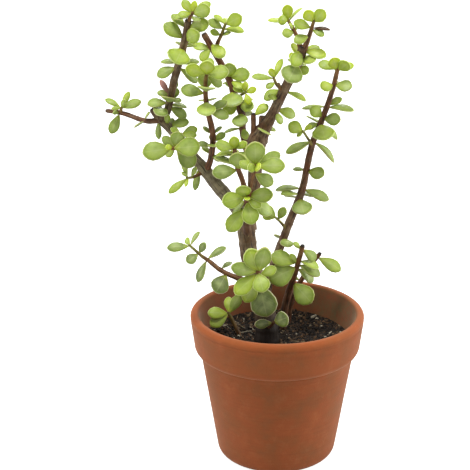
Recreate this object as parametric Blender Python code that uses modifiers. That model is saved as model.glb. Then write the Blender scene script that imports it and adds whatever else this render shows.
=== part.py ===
"""Elephant bush bonsai (Portulacaria afra) in its turned terracotta pot.

The pot is 130 mm across its rim. An old bare trunk stands in the soil and forks into a
left and a right limb, and young leafy shoots grow from the wood and from the soil.
Every leafy shoot is one solid: its twigs and its fleshy leaves are joined.

All sizes and routes are in millimetres from the middle of the pot's foot: right, back, up.
"""
import math
import random
from dataclasses import dataclass

import bmesh
import bpy
from mathutils import Matrix, Vector, noise
from mathutils.bvhtree import BVHTree

MM = 0.001
GAP = 0.3

# The pot stands right of the origin, because the plant leans out over its left side.
POT_AXIS = (31.0, 0.0)

# Pot, outside and inside.
RIM_RADIUS = 65.0
POT_HEIGHT = 115.0
COLLAR_HEIGHT = 31.0
COLLAR_FOOT_RADIUS = 62.1
COLLAR_ROUND = 6.0
SHOULDER_RADIUS = 57.2
FOOT_RADIUS = 41.3
FOOT_ROUND = 9.0
LIP_ROUND = 3.2
WALL = 6.4
FLOOR = 6.0
FLOOR_ROUND = 8.0
DRAIN_RADIUS = 10.0
POT_SEGMENTS = 36

# Soil.
SOIL_TOP = 93.0
SOIL_UNEVEN = 1.5
SOIL_RINGS = 4
SOIL_LUMP = 16.0

# Leaves.
LEAF_RATIO = 0.59
LEAF_RATIO_SPREAD = 0.07
LEAF_FACING = 0.35
LEAF_ROLL_SPREAD = 9.0
LEAF_ARCH = (0.03, 0.09)
LEAF_THICKNESS = 0.1
LEAF_THICKNESS_LIMITS = (1.4, 2.4)
LEAF_WIDEST_POWER = 1.5
LEAF_BLUNTNESS = 0.6
LEAF_RING_SHARES = (0.15, 0.42, 0.70, 0.91)
LEAF_SUNK = 0.45
LEAF_TIP_SUNK = 1.5
LEAF_CLEAR_FROM = (0.2, 0.35, 0.6)
LEAF_CLEARANCE = 0.8
LEAF_TURNS = (0, 10, -10, 20, -20, 32, -32, 45, -45)
LEAF_SEED = 4905

TWIG_STEP = 9.0
TOWARDS_VIEWER = (0.0, -0.94, 0.35)

BARK_COLOUR = (0.13, 0.085, 0.055, 1.0)
LEAF_COLOUR = (0.24, 0.36, 0.06, 1.0)
TERRACOTTA_COLOUR = (0.42, 0.14, 0.06, 1.0)
SOIL_COLOUR = (0.025, 0.017, 0.012, 1.0)


@dataclass(frozen=True)
class Leaf:
    """One leaf: where on its twig it grows, and the reach from its root to its tip.

    The upper face looks along the twig, and turns to the viewer as facing goes from 0 to 1.
    """

    at: float
    reach: tuple
    facing: float = LEAF_FACING
    ratio: float = LEAF_RATIO


@dataclass(frozen=True)
class Twig:
    """One stem: its route, each point with the wood's radius, and its leaves."""

    route: tuple
    leaves: tuple = ()
    sides: int = 6
    face: tuple = None


@dataclass(frozen=True)
class Shoot:
    """A node of the model: twigs grown as one, and the wood or soil that they stand in."""

    name: str
    twigs: tuple
    seats: tuple = ()


@dataclass(frozen=True)
class Blade:
    """A leaf in its final place: its frame, sizes and bend."""

    frame: Matrix
    length: float
    width: float
    thickness: float
    arch: float
    clear_from: float


TRUNK = Shoot("trunk", (
    Twig(((-5, -7, 46, 6.5), (-7, -9, 72, 9.0), (-8, -10, 92, 9.4), (-8.5, -9, 113, 8.0),
          (-14, -8, 135, 7.3), (-20, -6, 157, 6.7), (-22, -5, 170, 6.4), (-23, -4, 180, 6.6),
          (-23.5, -3, 190, 6.6)), sides=12),
))

LEFT_LIMB = Shoot("left_limb", (
    Twig(((-23, -3, 182, 5.2), (-29, -2, 196, 5.2), (-44, 3, 212.5, 4.9), (-55, 7, 226, 4.3),
          (-67, 11, 239, 3.8), (-78, 14, 252.5, 3.4), (-87, 16, 261, 3.0), (-92, 17, 268, 2.4)),
         (Leaf(2.1, (9, 9, 9), 0.1), Leaf(3.1, (-2, -6, -18), 0.9, 0.3),
          Leaf(5.9, (-1, -5, -14), 0.8, 0.36), Leaf(5.2, (15, -2, 5), 0.6),
          Leaf(4.9, (-2, 6, 9)), Leaf(5.4, (1, -5, 10), 1, 0.5)),
         sides=8),
    Twig(((-86, 15.5, 260, 2.2), (-93, 16, 258.5, 2.0), (-100, 18, 259, 1.9), (-108.5, 22, 261, 1.8),
          (-116, 26, 262, 1.7), (-126.5, 31, 262, 1.5)),
         (Leaf(1.6, (-8, -5, -4), 0.2, 0.4), Leaf(1.6, (4, -6, 8), 0.2, 0.4),
          Leaf(4, (-7, -4, -15), 1, 0.5), Leaf(4, (-5, -4, 1)))),
    Twig(((-115.5, 26, 262, 1.2), (-114.5, 22, 267.5, 1.0)),
         (Leaf(1, (-12, 3, 6), 0, 0.4), Leaf(1, (6, 3, 12), 0.2, 0.36),
          Leaf(0.9, (3, -4, 8), 0.4, 0.45), Leaf(0.8, (15, -2, 6), 0.4, 0.45),
          Leaf(0.8, (-7, -5, 1), 0.2, 0.4))),
    Twig(((-86, 15.5, 259.5, 2.8), (-81.5, 15, 265, 2.8), (-79.5, 14, 272, 2.7), (-77.5, 12, 281, 2.7),
          (-75.5, 10, 291, 2.8), (-72, 7, 304, 2.9), (-67.5, 3, 322, 2.6), (-64.5, 0, 338.5, 2.5)),
         (Leaf(2.0, (13, 2, -3), 0.1, 0.5), Leaf(2.1, (-16, -3, 0), 0.3),
          Leaf(2.7, (-10, 4, 2), 0.5), Leaf(2.2, (-1, -12, 7), 0, 0.9),
          Leaf(2.9, (3, 7, 9)), Leaf(2.4, (8, -6, 2), 0.3),
          Leaf(2.8, (-8, 3, 11), 1, 0.36), Leaf(1.7, (14, -3, -6), 0.6),
          Leaf(1.5, (-8, -12, -1), 0.5, 0.9), Leaf(1.0, (-9, 0, 5), 0.5),
          Leaf(4.8, (-15, -2, -6), 0.5), Leaf(5.0, (-13, 3, 1), 0.2),
          Leaf(4.8, (14, -2, -11), 0.35, 0.5), Leaf(5.0, (15, 3, 1), 0.2),
          Leaf(6.1, (-15, 1, 11), 0.75), Leaf(6.6, (-11, 4, 9), 0.4),
          Leaf(6.1, (11, -8, 10), 1, 0.7), Leaf(5.9, (9, 5, -3), 0.2),
          Leaf(5.7, (-5, -16, -7), 0.9, 1.0), Leaf(6.6, (16, -7, 6), 1, 0.62),
          Leaf(6.95, (12, -2, -2), 0, 0.3))),
    Twig(((-65, 0, 336.5, 1.3), (-61, -4, 345, 1.1)),
         (Leaf(1, (-7, 3, 9), 0.9), Leaf(1, (13, 3, 7), 0.4, 0.5), Leaf(0.8, (13, -4, 5), 1, 0.7),
          Leaf(0.8, (-10, -3, 2), 0.6), Leaf(0.5, (-12, 2, -1), 0.1), Leaf(0.6, (6, -7, -1), 0.5),
          Leaf(1, (2, 1, 9), 0.9))),
    Twig(((-55, 6, 222.5, 1.4), (-62, 0, 221, 1.1), (-67, -5, 222, 0.9)),
         (Leaf(2, (-3, 3, 14), 0.4, 0.36), Leaf(2, (-14, -3, -11), 0.3, 0.34),
          Leaf(1.7, (-2, -6, -5), 0.5, 0.4), Leaf(1.3, (4, -3, 9), 0.3, 0.4))),
    Twig(((-68, 11, 240.5, 1.9), (-73, 0, 243.5, 1.6), (-77, -9, 245.5, 1.3)),
         (Leaf(2, (-22, -4, -2), 1, 0.62), Leaf(2, (20, -3, 3), 1, 0.8),
          Leaf(1.6, (3, -5, 12), 1, 0.9), Leaf(1.3, (-10, 2, 8), 1),
          Leaf(1.3, (12, 4, -14), 1, 0.72), Leaf(1.4, (-7, 2, -7), 1),
          Leaf(2, (-5, -5, 3), 1)), face=TOWARDS_VIEWER),
    Twig(((-72, 12, 245, 1.3), (-70.5, 8, 252, 1.0)),
         (Leaf(1, (12, 2, 4), 0.6), Leaf(0.9, (12, -4, -1), 0.3), Leaf(1, (-7, 0, 6)))),
), ("trunk",))

MIDDLE_LEFT_STEM = Shoot("middle_left_stem", (
    Twig(((-52.5, 6.5, 223, 2.4), (-49.5, 1, 233.5, 2.3), (-48, -3, 243, 2.3), (-47.5, -5, 251, 2.2),
          (-48, -6, 259, 2.2), (-50, -6, 268, 2.1), (-51.5, -6.5, 276, 1.9),
          (-52.5, -7, 284, 1.8), (-52.5, -9, 295, 1.5), (-51.5, -11, 303, 1.3)),
         (Leaf(1.5, (8, -7, -2), 0.5), Leaf(2.3, (-11, 1, 2), 0.3), Leaf(2.3, (13, 3, 0), 0.5),
          Leaf(2.6, (0, -10, 1), 0.4, 0.8), Leaf(2.8, (9, 5, 5), 0.4), Leaf(3.6, (-7, 1, 5), 0.1),
          Leaf(3.6, (7, 1, 5), 0.1), Leaf(5.5, (15, -2, -3), 0.5), Leaf(5.6, (14, 6, 4), 0.5),
          Leaf(6.5, (0, -15, -6), 0.7, 1.0), Leaf(7.2, (-18, 2, 3), 0.8),
          Leaf(7.4, (1, -14, 6), 0, 0.9), Leaf(9, (-15, -4, 6), 1, 0.62),
          Leaf(9, (1, -7, 12), 1, 0.85), Leaf(8.9, (16, -5, 3), 0.9, 0.7),
          Leaf(8.6, (11, 3, -8), 0.5), Leaf(8.8, (-7, 9, 3), 0), Leaf(9, (3, 7, 10), 0))),
), ("left_limb",))

RIGHT_LIMB = Shoot("right_limb", (
    Twig(((-21, -3, 182, 4.6), (-19, 1, 199, 4.6), (-17.5, 1, 218, 4.8), (-16, 0, 238, 5.6),
          (-15, -1, 250, 7.2), (-10, -2, 260, 5.0), (-4, -4, 271.5, 3.8), (1, -6, 283.5, 3.7),
          (4.5, -7, 291, 3.5), (9.5, -9, 302.5, 3.3), (14.5, -11, 314, 3.4),
          (16.5, -12, 322.5, 3.2)),
         (Leaf(4.7, (1, -15, 3), 0.3, 0.85), Leaf(6.1, (5, -5, -9), 0.3), Leaf(6.2, (15, 3, -6), 0.5),
          Leaf(6.9, (-9, -6, 3), 0.4), Leaf(7.6, (-15, 2, -8), 0.4, 0.5),
          Leaf(7.6, (16, -2, -7), 0.35, 0.4), Leaf(9.6, (-7, -14, -10), 0.8, 0.95),
          Leaf(9.4, (9, -3, -4), 0.6, 0.9), Leaf(9.9, (-8, -8, 4), 0.6, 0.7),
          Leaf(9.9, (11, -9, 1), 0.6, 0.7), Leaf(10.4, (13, 5, 3), 0.3),
          Leaf(10.6, (17, -4, -5), 0.5), Leaf(10.6, (-12, -6, -8), 1, 0.72)), sides=8),
    Twig(((3, -6.5, 288, 1.5), (-2, -11, 294, 1.2), (-4.5, -14, 300.5, 1.0)),
         (Leaf(2, (-16, -3, 2), 0, 0.4), Leaf(2, (6, 2, 14), 0.2, 0.36), Leaf(2, (-3, 0, 8), 0.6),
          Leaf(1.3, (-7, -5, -3), 0.6))),
    Twig(((15.5, -11.5, 318, 1.9), (12, -9, 328.5, 1.6), (8, -6, 335.5, 1.3), (5, -4, 340.5, 1.1)),
         (Leaf(1.4, (-9, -5, 0), 0.8, 0.8), Leaf(1.4, (4, 3, 9), 0.3), Leaf(1.8, (-2, -7, 4), 0.8),
          Leaf(2.6, (-15, -2, 1), 0.4, 0.55), Leaf(2.6, (10, 3, 9), 0.3, 0.42),
          Leaf(3, (-1, -3, 12), 1, 0.7), Leaf(3, (-9, -4, 5), 0.9, 0.7),
          Leaf(2.8, (-2, 9, 4), 0))),
    Twig(((16.5, -12, 318.5, 2.1), (20.5, -14, 330.5, 1.7), (22, -16, 336.5, 1.4),
          (23.5, -18, 342.5, 1.2)),
         (Leaf(1.0, (-11, -7, -3), 0.4, 0.6), Leaf(2, (-13, -3, 5), 0.8),
          Leaf(2, (13, -2, -1), 0, 0.3), Leaf(1.8, (9, -5, -1), 0.4),
          Leaf(3, (-6, -3, 9), 1, 0.85), Leaf(3, (7, -3, 9), 1, 0.85),
          Leaf(2.8, (8, 3, 2), 0.3), Leaf(2.8, (0, 9, 5), 0))),
    Twig(((-18, -2, 250, 2.2), (-18.5, -5, 271, 1.8)), (Leaf(0.9, (13, 3, 3), 0.6),)),
    Twig(((-12, 2, 252, 2.8), (-12, 6, 266, 2.4))),
    Twig(((2, -6, 286, 1.6), (-1, -3, 293, 1.2))),
), ("trunk", "left_limb"))

BACK_BRANCH = Shoot("back_branch", (
    Twig(((-17, 0, 220, 2.9), (-21, 9, 232, 2.7), (-24, 13, 241.5, 2.6), (-26, 16, 252, 2.6),
          (-26.5, 18, 262.5, 2.7), (-29, 20, 269, 2.8), (-32, 22, 276.5, 2.7), (-34.5, 23, 285, 2.6),
          (-41.5, 25, 299, 2.5), (-47.5, 26, 309.5, 2.4), (-54.5, 27, 321.5, 2.3)),
         (Leaf(3.1, (-14, 1, -4), 0.3, 0.42), Leaf(3.1, (3, -9, -6), 0.7),
          Leaf(4.2, (-1, -14, -6), 0.8, 0.85), Leaf(5.0, (11, -8, 1), 0.7, 0.75),
          Leaf(5.1, (11, 5, 3), 0.3), Leaf(5.0, (-11, -8, -3), 0.7, 0.8),
          Leaf(6.3, (-1, -16, -7), 0.9, 1.0), Leaf(6.5, (-4, 11, 3), 0),
          Leaf(7.3, (1, -6, 13), 1, 0.78), Leaf(7.3, (16, -3, 4), 0.9, 0.75),
          Leaf(7.1, (10, -8, 0), 0.5), Leaf(7.6, (-9, 7, 2), 0.2),
          Leaf(9.1, (-14, 3, 1), 0.4), Leaf(9.1, (-9, -4, -8), 0.7, 0.7),
          Leaf(9.3, (15, -6, -6), 0.6), Leaf(8.5, (3, 12, 3), 0))),
    Twig(((-46, 26, 307, 1.8), (-44, 24, 315.5, 1.5), (-41.5, 21, 321.5, 1.3), (-39.5, 18, 328, 1.1),
          (-38, 16, 332, 1.0)),
         (Leaf(2, (-8, -2, 4), 0.7), Leaf(2, (7, -3, 3), 0.2), Leaf(2.8, (15, 1, -2), 0.3, 0.5),
          Leaf(2.8, (-11, -1, 7), 0.8), Leaf(4, (12, -4, 7), 1, 0.78), Leaf(4, (-9, 3, 5), 0.3, 0.5),
          Leaf(3.5, (1, 9, 3), 0))),
    Twig(((-31, 21, 274, 1.3), (-27, 18, 278, 1.0), (-23, 15, 281, 0.9)),
         (Leaf(2, (-3, 1, 8), 0.9), Leaf(2, (8, -3, 4), 0.5), Leaf(2, (3, -6, -7), 0.7),
          Leaf(1.5, (-7, 3, 6), 0.8))),
), ("right_limb",))

FRONT_SHOOT = Shoot("front_shoot", (
    Twig(((-22, -5, 177, 3.4), (-23, -12, 186, 3.0), (-23, -15, 193, 2.7), (-23, -18, 204, 2.3),
          (-23, -21, 215, 2.1)),
         (Leaf(3.0, (-14, -5, -17), 1, 0.6), Leaf(2.9, (-10, 5, -9), 0.6, 0.7),
          Leaf(3.5, (4, -9, -15), 1, 0.75), Leaf(3.4, (18, 3, -10), 0.5, 0.55),
          Leaf(3.9, (-18, -6, -3), 1, 0.72), Leaf(3.9, (19, -5, 3), 0.8, 0.6),
          Leaf(3.7, (10, -7, -5), 0.7), Leaf(3.5, (-9, 5, -9), 0.3), Leaf(4, (0, -9, 0), 0.4),
          Leaf(4, (-2, -7, 13), 1, 0.8))),
    Twig(((-23, -21, 213, 2.1), (-26.5, -20, 226, 1.9), (-29.5, -20, 234, 1.9), (-31, -19, 242, 1.8),
          (-32, -18, 250, 1.6)),
         (Leaf(2, (0, -8, 15), 1, 0.82), Leaf(1.9, (-19, -4, -1), 0.9, 0.58),
          Leaf(2.3, (-17, 5, 2), 0.3, 0.45), Leaf(2.1, (8, 3, -2), 0.3),
          Leaf(3.8, (-14, -4, 5), 0.8, 0.6), Leaf(3.9, (-1, -5, 11), 0.9, 0.65),
          Leaf(3.9, (8, -4, 6), 0.9), Leaf(3.5, (-10, 3, -10), 0.2, 0.42),
          Leaf(3.5, (12, -3, -6), 0.7), Leaf(3.2, (-11, 5, -1), 0.2), Leaf(3, (-3, 11, 4), 0))),
    Twig(((-22.5, -21, 213, 2.0), (-19.5, -27, 228, 1.6), (-16.5, -33, 242, 1.3)),
         (Leaf(2, (-1, -3, 19), 1, 0.78), Leaf(2, (21, -4, 1), 1, 0.6),
          Leaf(1.7, (18, 3, 11), 1, 0.5), Leaf(1.4, (14, 3, -9), 1, 0.6),
          Leaf(2, (-6, -8, 0), 1, 0.8), Leaf(2, (3, -9, 1), 1, 0.8),
          Leaf(1.6, (-11, 2, 6), 1)), face=TOWARDS_VIEWER),
), ("trunk", "left_limb", "right_limb"))

RIGHT_STEM = Shoot("right_stem", (
    Twig(((-9.5, -8, 121, 3.6), (-7, 5, 134, 3.5), (-2.5, 10, 148, 3.4), (1, 13, 158.5, 3.3),
          (5.5, 15, 170.5, 3.1), (9, 17, 180, 3.1), (12, 18, 187.5, 3.0), (16, 18, 198, 2.9),
          (19, 18, 208.5, 2.7), (21, 18, 220, 2.5), (23, 18, 231, 2.5), (25.5, 18, 242, 2.5),
          (29, 17, 251.5, 2.3), (33, 16, 263, 2.2), (35.5, 15, 271, 2.1), (39.5, 13, 285.5, 1.9),
          (42.5, 12, 300, 1.6)),
         (Leaf(3.8, (3, -12, -3), 0.6, 0.95), Leaf(7.0, (3, -16, -7), 0.9, 1.0),
          Leaf(7.7, (-20, 3, -2), 0.3, 0.42), Leaf(7.7, (20, -2, -8), 0.5, 0.42),
          Leaf(7.3, (-15, -5, 2), 0.2, 0.5), Leaf(7.3, (10, 5, -3), 0.2),
          Leaf(9, (-10, 3, 0), 0.3), Leaf(9, (13, -8, -1), 0.7, 0.75),
          Leaf(11, (-20, -2, -8), 0.2, 0.4), Leaf(11, (16, 3, -17), 0.3, 0.4),
          Leaf(12.4, (3, -17, -7), 0.9, 1.05), Leaf(12.4, (-10, 3, -4), 0.5),
          Leaf(12.4, (13, 4, -13), 0.3, 0.42), Leaf(12.9, (-10, -6, 9), 0.9, 0.7),
          Leaf(12.8, (13, -7, 1), 0.9, 0.75), Leaf(13.8, (-18, 3, -2), 0, 0.42),
          Leaf(13.8, (20, -2, -2), 0.2, 0.42), Leaf(14.0, (11, 4, 3), 0.4),
          Leaf(15.1, (-10, -8, 0), 0.6, 0.8), Leaf(15.1, (13, -6, 0), 0.6, 0.75),
          Leaf(16, (-14, 3, 4), 0.7), Leaf(16, (-4, -4, 10), 1, 0.85), Leaf(16, (7, -4, 9), 1, 0.85),
          Leaf(15.9, (12, 2, 3), 0.5), Leaf(15.7, (1, 9, 4), 0))),
    Twig(((25.5, 18, 239, 1.2), (21, 12, 247.5, 1.0), (17.5, 8, 254, 0.9)),
         (Leaf(2, (-11, -3, 7), 1, 0.8), Leaf(1.8, (-5, -2, -3), 0.3), Leaf(2, (6, 3, 4), 0.3))),
    Twig(((7, 16, 174.5, 1.3), (1.5, 10, 183, 1.0), (-2, 5, 188, 0.9)),
         (Leaf(1.4, (5, -3, 11), 0.8, 0.6), Leaf(2, (-10, -2, 10), 0.6), Leaf(2, (-10, 3, 0), 0.3))),
), ("trunk",))

LOW_LEFT_TWIG = Shoot("low_left_twig", (
    Twig(((-15, -8, 140, 2.3), (-28, -12, 146, 2.1), (-37, -16, 151.5, 1.9), (-44, -19, 157, 1.8),
          (-50.5, -22, 164, 1.6), (-55, -24, 168, 1.3), (-59, -26, 172.5, 1.1),
          (-65, -28, 179, 0.9)),
         (Leaf(2.1, (-8, -9, -12), 1, 0.88), Leaf(2.7, (8, 6, 4), 0.2, 0.5),
          Leaf(4.3, (14, 2, 9), 0.3, 0.45), Leaf(4.3, (-7, -2, -17), 0.5, 0.4),
          Leaf(5.7, (-9, -5, -5), 0.9, 0.7), Leaf(5.7, (5, -4, 10), 0.8, 0.55),
          Leaf(7, (-17, -2, -1), 0.7, 0.48), Leaf(7, (7, 3, 10), 0.3, 0.36),
          Leaf(7, (-3, 8, 3), 0))),
), ("trunk",))

BASE_ROSETTE = Shoot("base_rosette", (
    Twig(((-13.5, -8, 135, 2.5), (-14, -20, 147, 2.0), (-15, -32, 160, 1.6)),
         (Leaf(2, (-7, -2, 19), 1, 0.68), Leaf(2, (6, -3, 23), 1, 0.56),
          Leaf(2, (-19, -5, 6), 1, 0.56), Leaf(1.8, (-17, -4, -15), 1, 0.56),
          Leaf(2, (4, -10, -12), 1, 0.85), Leaf(1.4, (-10, 1, -20), 1, 0.5),
          Leaf(1.0, (6, -8, -25), 1, 0.78), Leaf(1.5, (13, 2, 6), 1)),
         face=TOWARDS_VIEWER),
), ("trunk",))

FOOT_LEAVES = Shoot("foot_leaves", (
    Twig(((-8, -12, 106, 1.9), (-3, -25, 117, 1.4)),
         (Leaf(1, (-14, -4, 0), 1, 0.55), Leaf(1, (11, -4, 6), 1, 0.95)), face=TOWARDS_VIEWER),
), ("trunk",))

TALL_CUT_STEM = Shoot("tall_cut_stem", (
    Twig(((5, 17, 68, 2.6), (5, 17, 91, 2.7), (5.5, 15, 108, 2.8), (7.5, 13, 121, 2.7),
          (10.5, 10, 132, 2.5), (14, 7, 145.5, 2.1), (16.5, 4, 157, 1.9), (18.5, 1, 167.5, 1.8)),
         (Leaf(5.2, (-21, -7, -8), 1, 0.8), Leaf(5.5, (-21, 5, 2), 0.7, 0.6),
          Leaf(5.5, (-4, -3, 9), 0.9, 0.5), Leaf(5.7, (15, -3, -5), 0.3),
          Leaf(5.4, (17, -2, -8), 0.3), Leaf(6.6, (11, 4, -9), 0.7),
          Leaf(6.6, (-6, 3, 5), 0.5), Leaf(5.1, (13, 4, -12), 0.3),
          Leaf(4.2, (17, -8, -11), 1, 0.8))),
))

SHORT_CUT_STEM = Shoot("short_cut_stem", (
    Twig(((9, 27, 68, 2.0), (9, 27, 91, 2.1), (10, 27, 103, 2.0), (12, 26, 114, 2.0),
          (15.5, 25, 124, 2.0), (20, 24, 133, 1.9), (24, 23, 141, 1.8), (28.5, 21.5, 148, 1.7),
          (32.5, 20, 154, 1.6)),
         (Leaf(7.4, (18, -3, -10), 0.6, 0.5), Leaf(7.4, (-9, 10, 2), 0.1),
          Leaf(5.8, (6, 12, 2), 0), Leaf(4.6, (-12, 6, 3), 0.2))),
))

GROUND_SHOOT = Shoot("ground_shoot", (
    Twig(((-28, 6, 72, 1.5), (-28, 6, 91, 1.6), (-33, 8, 103, 1.4), (-37, 8, 111, 1.2)),
         (Leaf(3, (-16, -3, 2), 0.7, 0.6), Leaf(2.9, (-14, -7, -6), 0.7, 0.62),
          Leaf(2.8, (-11, 4, -2), 0.4), Leaf(3, (9, 2, 15), 1, 0.5), Leaf(3, (0, 7, 11), 0.5))),
))

SHOOTS = (LEFT_LIMB, MIDDLE_LEFT_STEM, RIGHT_LIMB, BACK_BRANCH, FRONT_SHOOT, RIGHT_STEM,
          LOW_LEFT_TWIG, BASE_ROSETTE, FOOT_LEAVES, TALL_CUT_STEM, SHORT_CUT_STEM, GROUND_SHOOT)
ROOTED = ("trunk", "tall_cut_stem", "short_cut_stem", "ground_shoot")


def make_material(name, colour, roughness):
    """Return a Principled material of one colour."""
    material = bpy.data.materials.new(name)
    material.use_nodes = True
    material.diffuse_color = colour
    shader = material.node_tree.nodes["Principled BSDF"]
    shader.inputs["Base Color"].default_value = colour
    shader.inputs["Roughness"].default_value = roughness
    return material


def smooth_route(route, step):
    """Return points on a smooth curve through the route's points, each with its radius."""
    points = [Vector(point) for point in route]
    guides = [2 * points[0] - points[1], *points, 2 * points[-1] - points[-2]]
    smooth = [points[0]]
    for before, start, end, after in zip(guides, guides[1:], guides[2:], guides[3:]):
        pieces = max(1, round((end - start).length / step))
        for piece in range(1, pieces + 1):
            t = piece / pieces
            pull_in = (end - before) * 0.5
            pull_out = (after - start) * 0.5
            smooth.append((2 * t**3 - 3 * t**2 + 1) * start + (t**3 - 2 * t**2 + t) * pull_in
                          + (3 * t**2 - 2 * t**3) * end + (t**3 - t**2) * pull_out)
    return smooth


def tube_mesh(name, route, sides, swell=0.0):
    """Return the mesh of a stem, wider all round by swell."""
    curve = bpy.data.curves.new(name, "CURVE")
    curve.dimensions = "3D"
    curve.bevel_depth = MM
    curve.bevel_resolution = (sides - 4) // 2
    curve.use_fill_caps = True
    points = smooth_route(route, TWIG_STEP)
    spline = curve.splines.new("POLY")
    spline.points.add(len(points) - 1)
    for spline_point, (x, y, z, radius) in zip(spline.points, points):
        spline_point.co = ((x + POT_AXIS[0]) * MM, (y + POT_AXIS[1]) * MM, z * MM, 1.0)
        spline_point.radius = radius + swell
    holder = bpy.data.objects.new(name, curve)
    bpy.context.scene.collection.objects.link(holder)
    evaluated = holder.evaluated_get(bpy.context.evaluated_depsgraph_get())
    mesh = bpy.data.meshes.new_from_object(evaluated)
    bpy.data.objects.remove(holder)
    bpy.data.curves.remove(curve)
    shape = bmesh.new()
    shape.from_mesh(mesh)
    bmesh.ops.remove_doubles(shape, verts=shape.verts, dist=1e-7)
    shape.to_mesh(mesh)
    shape.free()
    return mesh


def point_on(twig, at):
    """Return a place on a twig's route, by point number, its direction and its radius."""
    last = len(twig.route) - 2
    end_length = (Vector(twig.route[-1][:3]) - Vector(twig.route[-2][:3])).length
    at = min(at, last + 1 - LEAF_TIP_SUNK / end_length)
    first = min(int(at), last)
    place = Vector(twig.route[first]).lerp(Vector(twig.route[first + 1]), at - first)
    direction = Vector(twig.route[first + 1][:3]) - Vector(twig.route[first][:3])
    return place.xyz, direction.normalized(), place.w


def blade_for(twig, leaf, roll, ratio, arch, turn=(0.0, 0.0), shorter=1.0):
    """Return the blade of a leaf, turned about its root by the two angles of turn."""
    axis, direction, radius = point_on(twig, leaf.at)
    upper = (Vector(twig.face) if twig.face else direction).lerp(Vector(TOWARDS_VIEWER),
                                                                 leaf.facing)
    outwards = Vector(leaf.reach) - Vector(leaf.reach).dot(direction) * direction
    root = axis + outwards.normalized() * radius * LEAF_SUNK
    reach = (axis + Vector(leaf.reach) - root) * shorter
    along = reach.normalized()
    upper = (upper - upper.dot(along) * along).normalized()
    across = upper.cross(along)
    spin = Matrix.Rotation(math.radians(roll), 3, along)
    sideways = Matrix.Rotation(math.radians(turn[0]), 3, upper)
    upwards = Matrix.Rotation(math.radians(turn[1]), 3, across)
    axes = [upwards @ sideways @ spin @ axis for axis in (along, across, upper)]
    frame = Matrix((axes[0], axes[1], axes[2])).transposed().to_4x4()
    frame.translation = root
    length = reach.length
    low, high = LEAF_THICKNESS_LIMITS
    thickness = min(high, max(low, LEAF_THICKNESS * length))
    least, most_at_tip, most = LEAF_CLEAR_FROM
    if leaf.at > len(twig.route) - 1.4:
        most = most_at_tip
    depth = radius * (1 - LEAF_SUNK) + GAP + LEAF_CLEARANCE / 2 + thickness / 3
    clear_from = max(least, min(most, depth / max(outwards.length, 0.1)))
    return Blade(frame, length, length * ratio, thickness, arch * length, clear_from)


def outline_share(share):
    """Return how wide the leaf is there, as a share of its full width: narrow at the root."""
    return math.sin(math.pi * share ** LEAF_WIDEST_POWER) ** LEAF_BLUNTNESS


def blade_shape(blade, start=0.0, swell=0.0):
    """Return a bmesh of one fleshy leaf: a four-sided closed form, pressed to its outline."""
    shape = bmesh.new()
    rings = len(LEAF_RING_SHARES)
    bmesh.ops.create_uvsphere(shape, u_segments=4, v_segments=rings + 1, radius=1.0)
    for vert in shape.verts:
        ring = round((1 - math.acos(max(-1.0, min(1.0, vert.co.z))) / math.pi) * (rings + 1))
        share = (0.0, *LEAF_RING_SHARES, 1.0)[ring]
        share = start + (1 - start) * share
        side = Vector((vert.co.x, vert.co.y))
        if side.length > 1e-4:
            side.normalize()
        width = (blade.width * outline_share(share) if 0 < ring <= rings else 0.0) + swell
        plump = blade.thickness * (0.75 + 0.25 * math.sin(math.pi * share)) + swell
        lift = 4 * blade.arch * share * (1 - share)
        vert.co = blade.frame @ Vector((blade.length * share, side.x * width / 2,
                                        side.y * plump / 2 + lift))
    return shape


def blade_tree(blade):
    """Return the search tree of a leaf's clear part, swollen by the clearance."""
    shape = blade_shape(blade, blade.clear_from, LEAF_CLEARANCE)
    tree = BVHTree.FromBMesh(shape)
    shape.free()
    return tree


def mesh_tree(mesh):
    """Return the search tree of a mesh, in millimetres about the pot's axis."""
    shift = Matrix.Translation((-POT_AXIS[0], -POT_AXIS[1], 0)) @ Matrix.Scale(1 / MM, 4)
    points = [shift @ vert.co for vert in mesh.vertices]
    return BVHTree.FromPolygons(points, [tuple(polygon.vertices) for polygon in mesh.polygons])


def partner_of(twig, leaf):
    """Return the leaf opposite one that points at the viewer, or None for any other."""
    reach = Vector(leaf.reach)
    if twig.face or reach.y > -0.55 * reach.length:
        return None
    direction = point_on(twig, leaf.at)[1]
    axial = reach.dot(direction) * direction
    back = axial - (reach - axial)
    if back.z < -0.3 * back.length:
        back.z = -0.3 * back.length
    return Leaf(leaf.at, tuple(back * 0.9), 0.0, leaf.ratio)


def settle_leaves(shoots, obstacles):
    """Return each shoot's blades, each turned as little as keeps it clear of all others."""
    draws = random.Random(LEAF_SEED)
    placed = []
    settled = {shoot.name: [] for shoot in shoots}
    for shoot in shoots:
        for twig in shoot.twigs:
            partners = [partner_of(twig, leaf) for leaf in twig.leaves]
            for leaf in (*twig.leaves, *(leaf for leaf in partners if leaf)):
                roll = draws.uniform(-LEAF_ROLL_SPREAD, LEAF_ROLL_SPREAD)
                ratio = leaf.ratio * draws.uniform(1 - LEAF_RATIO_SPREAD, 1 + LEAF_RATIO_SPREAD)
                arch = draws.uniform(*LEAF_ARCH)
                blade = first_clear(twig, leaf, roll, ratio, arch, placed, obstacles)
                if blade:
                    settled[shoot.name].append(blade)
                    placed.append((blade.frame.translation, blade.length, blade_tree(blade)))
                else:
                    print("no room for", shoot.name, leaf)
    return settled


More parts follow.
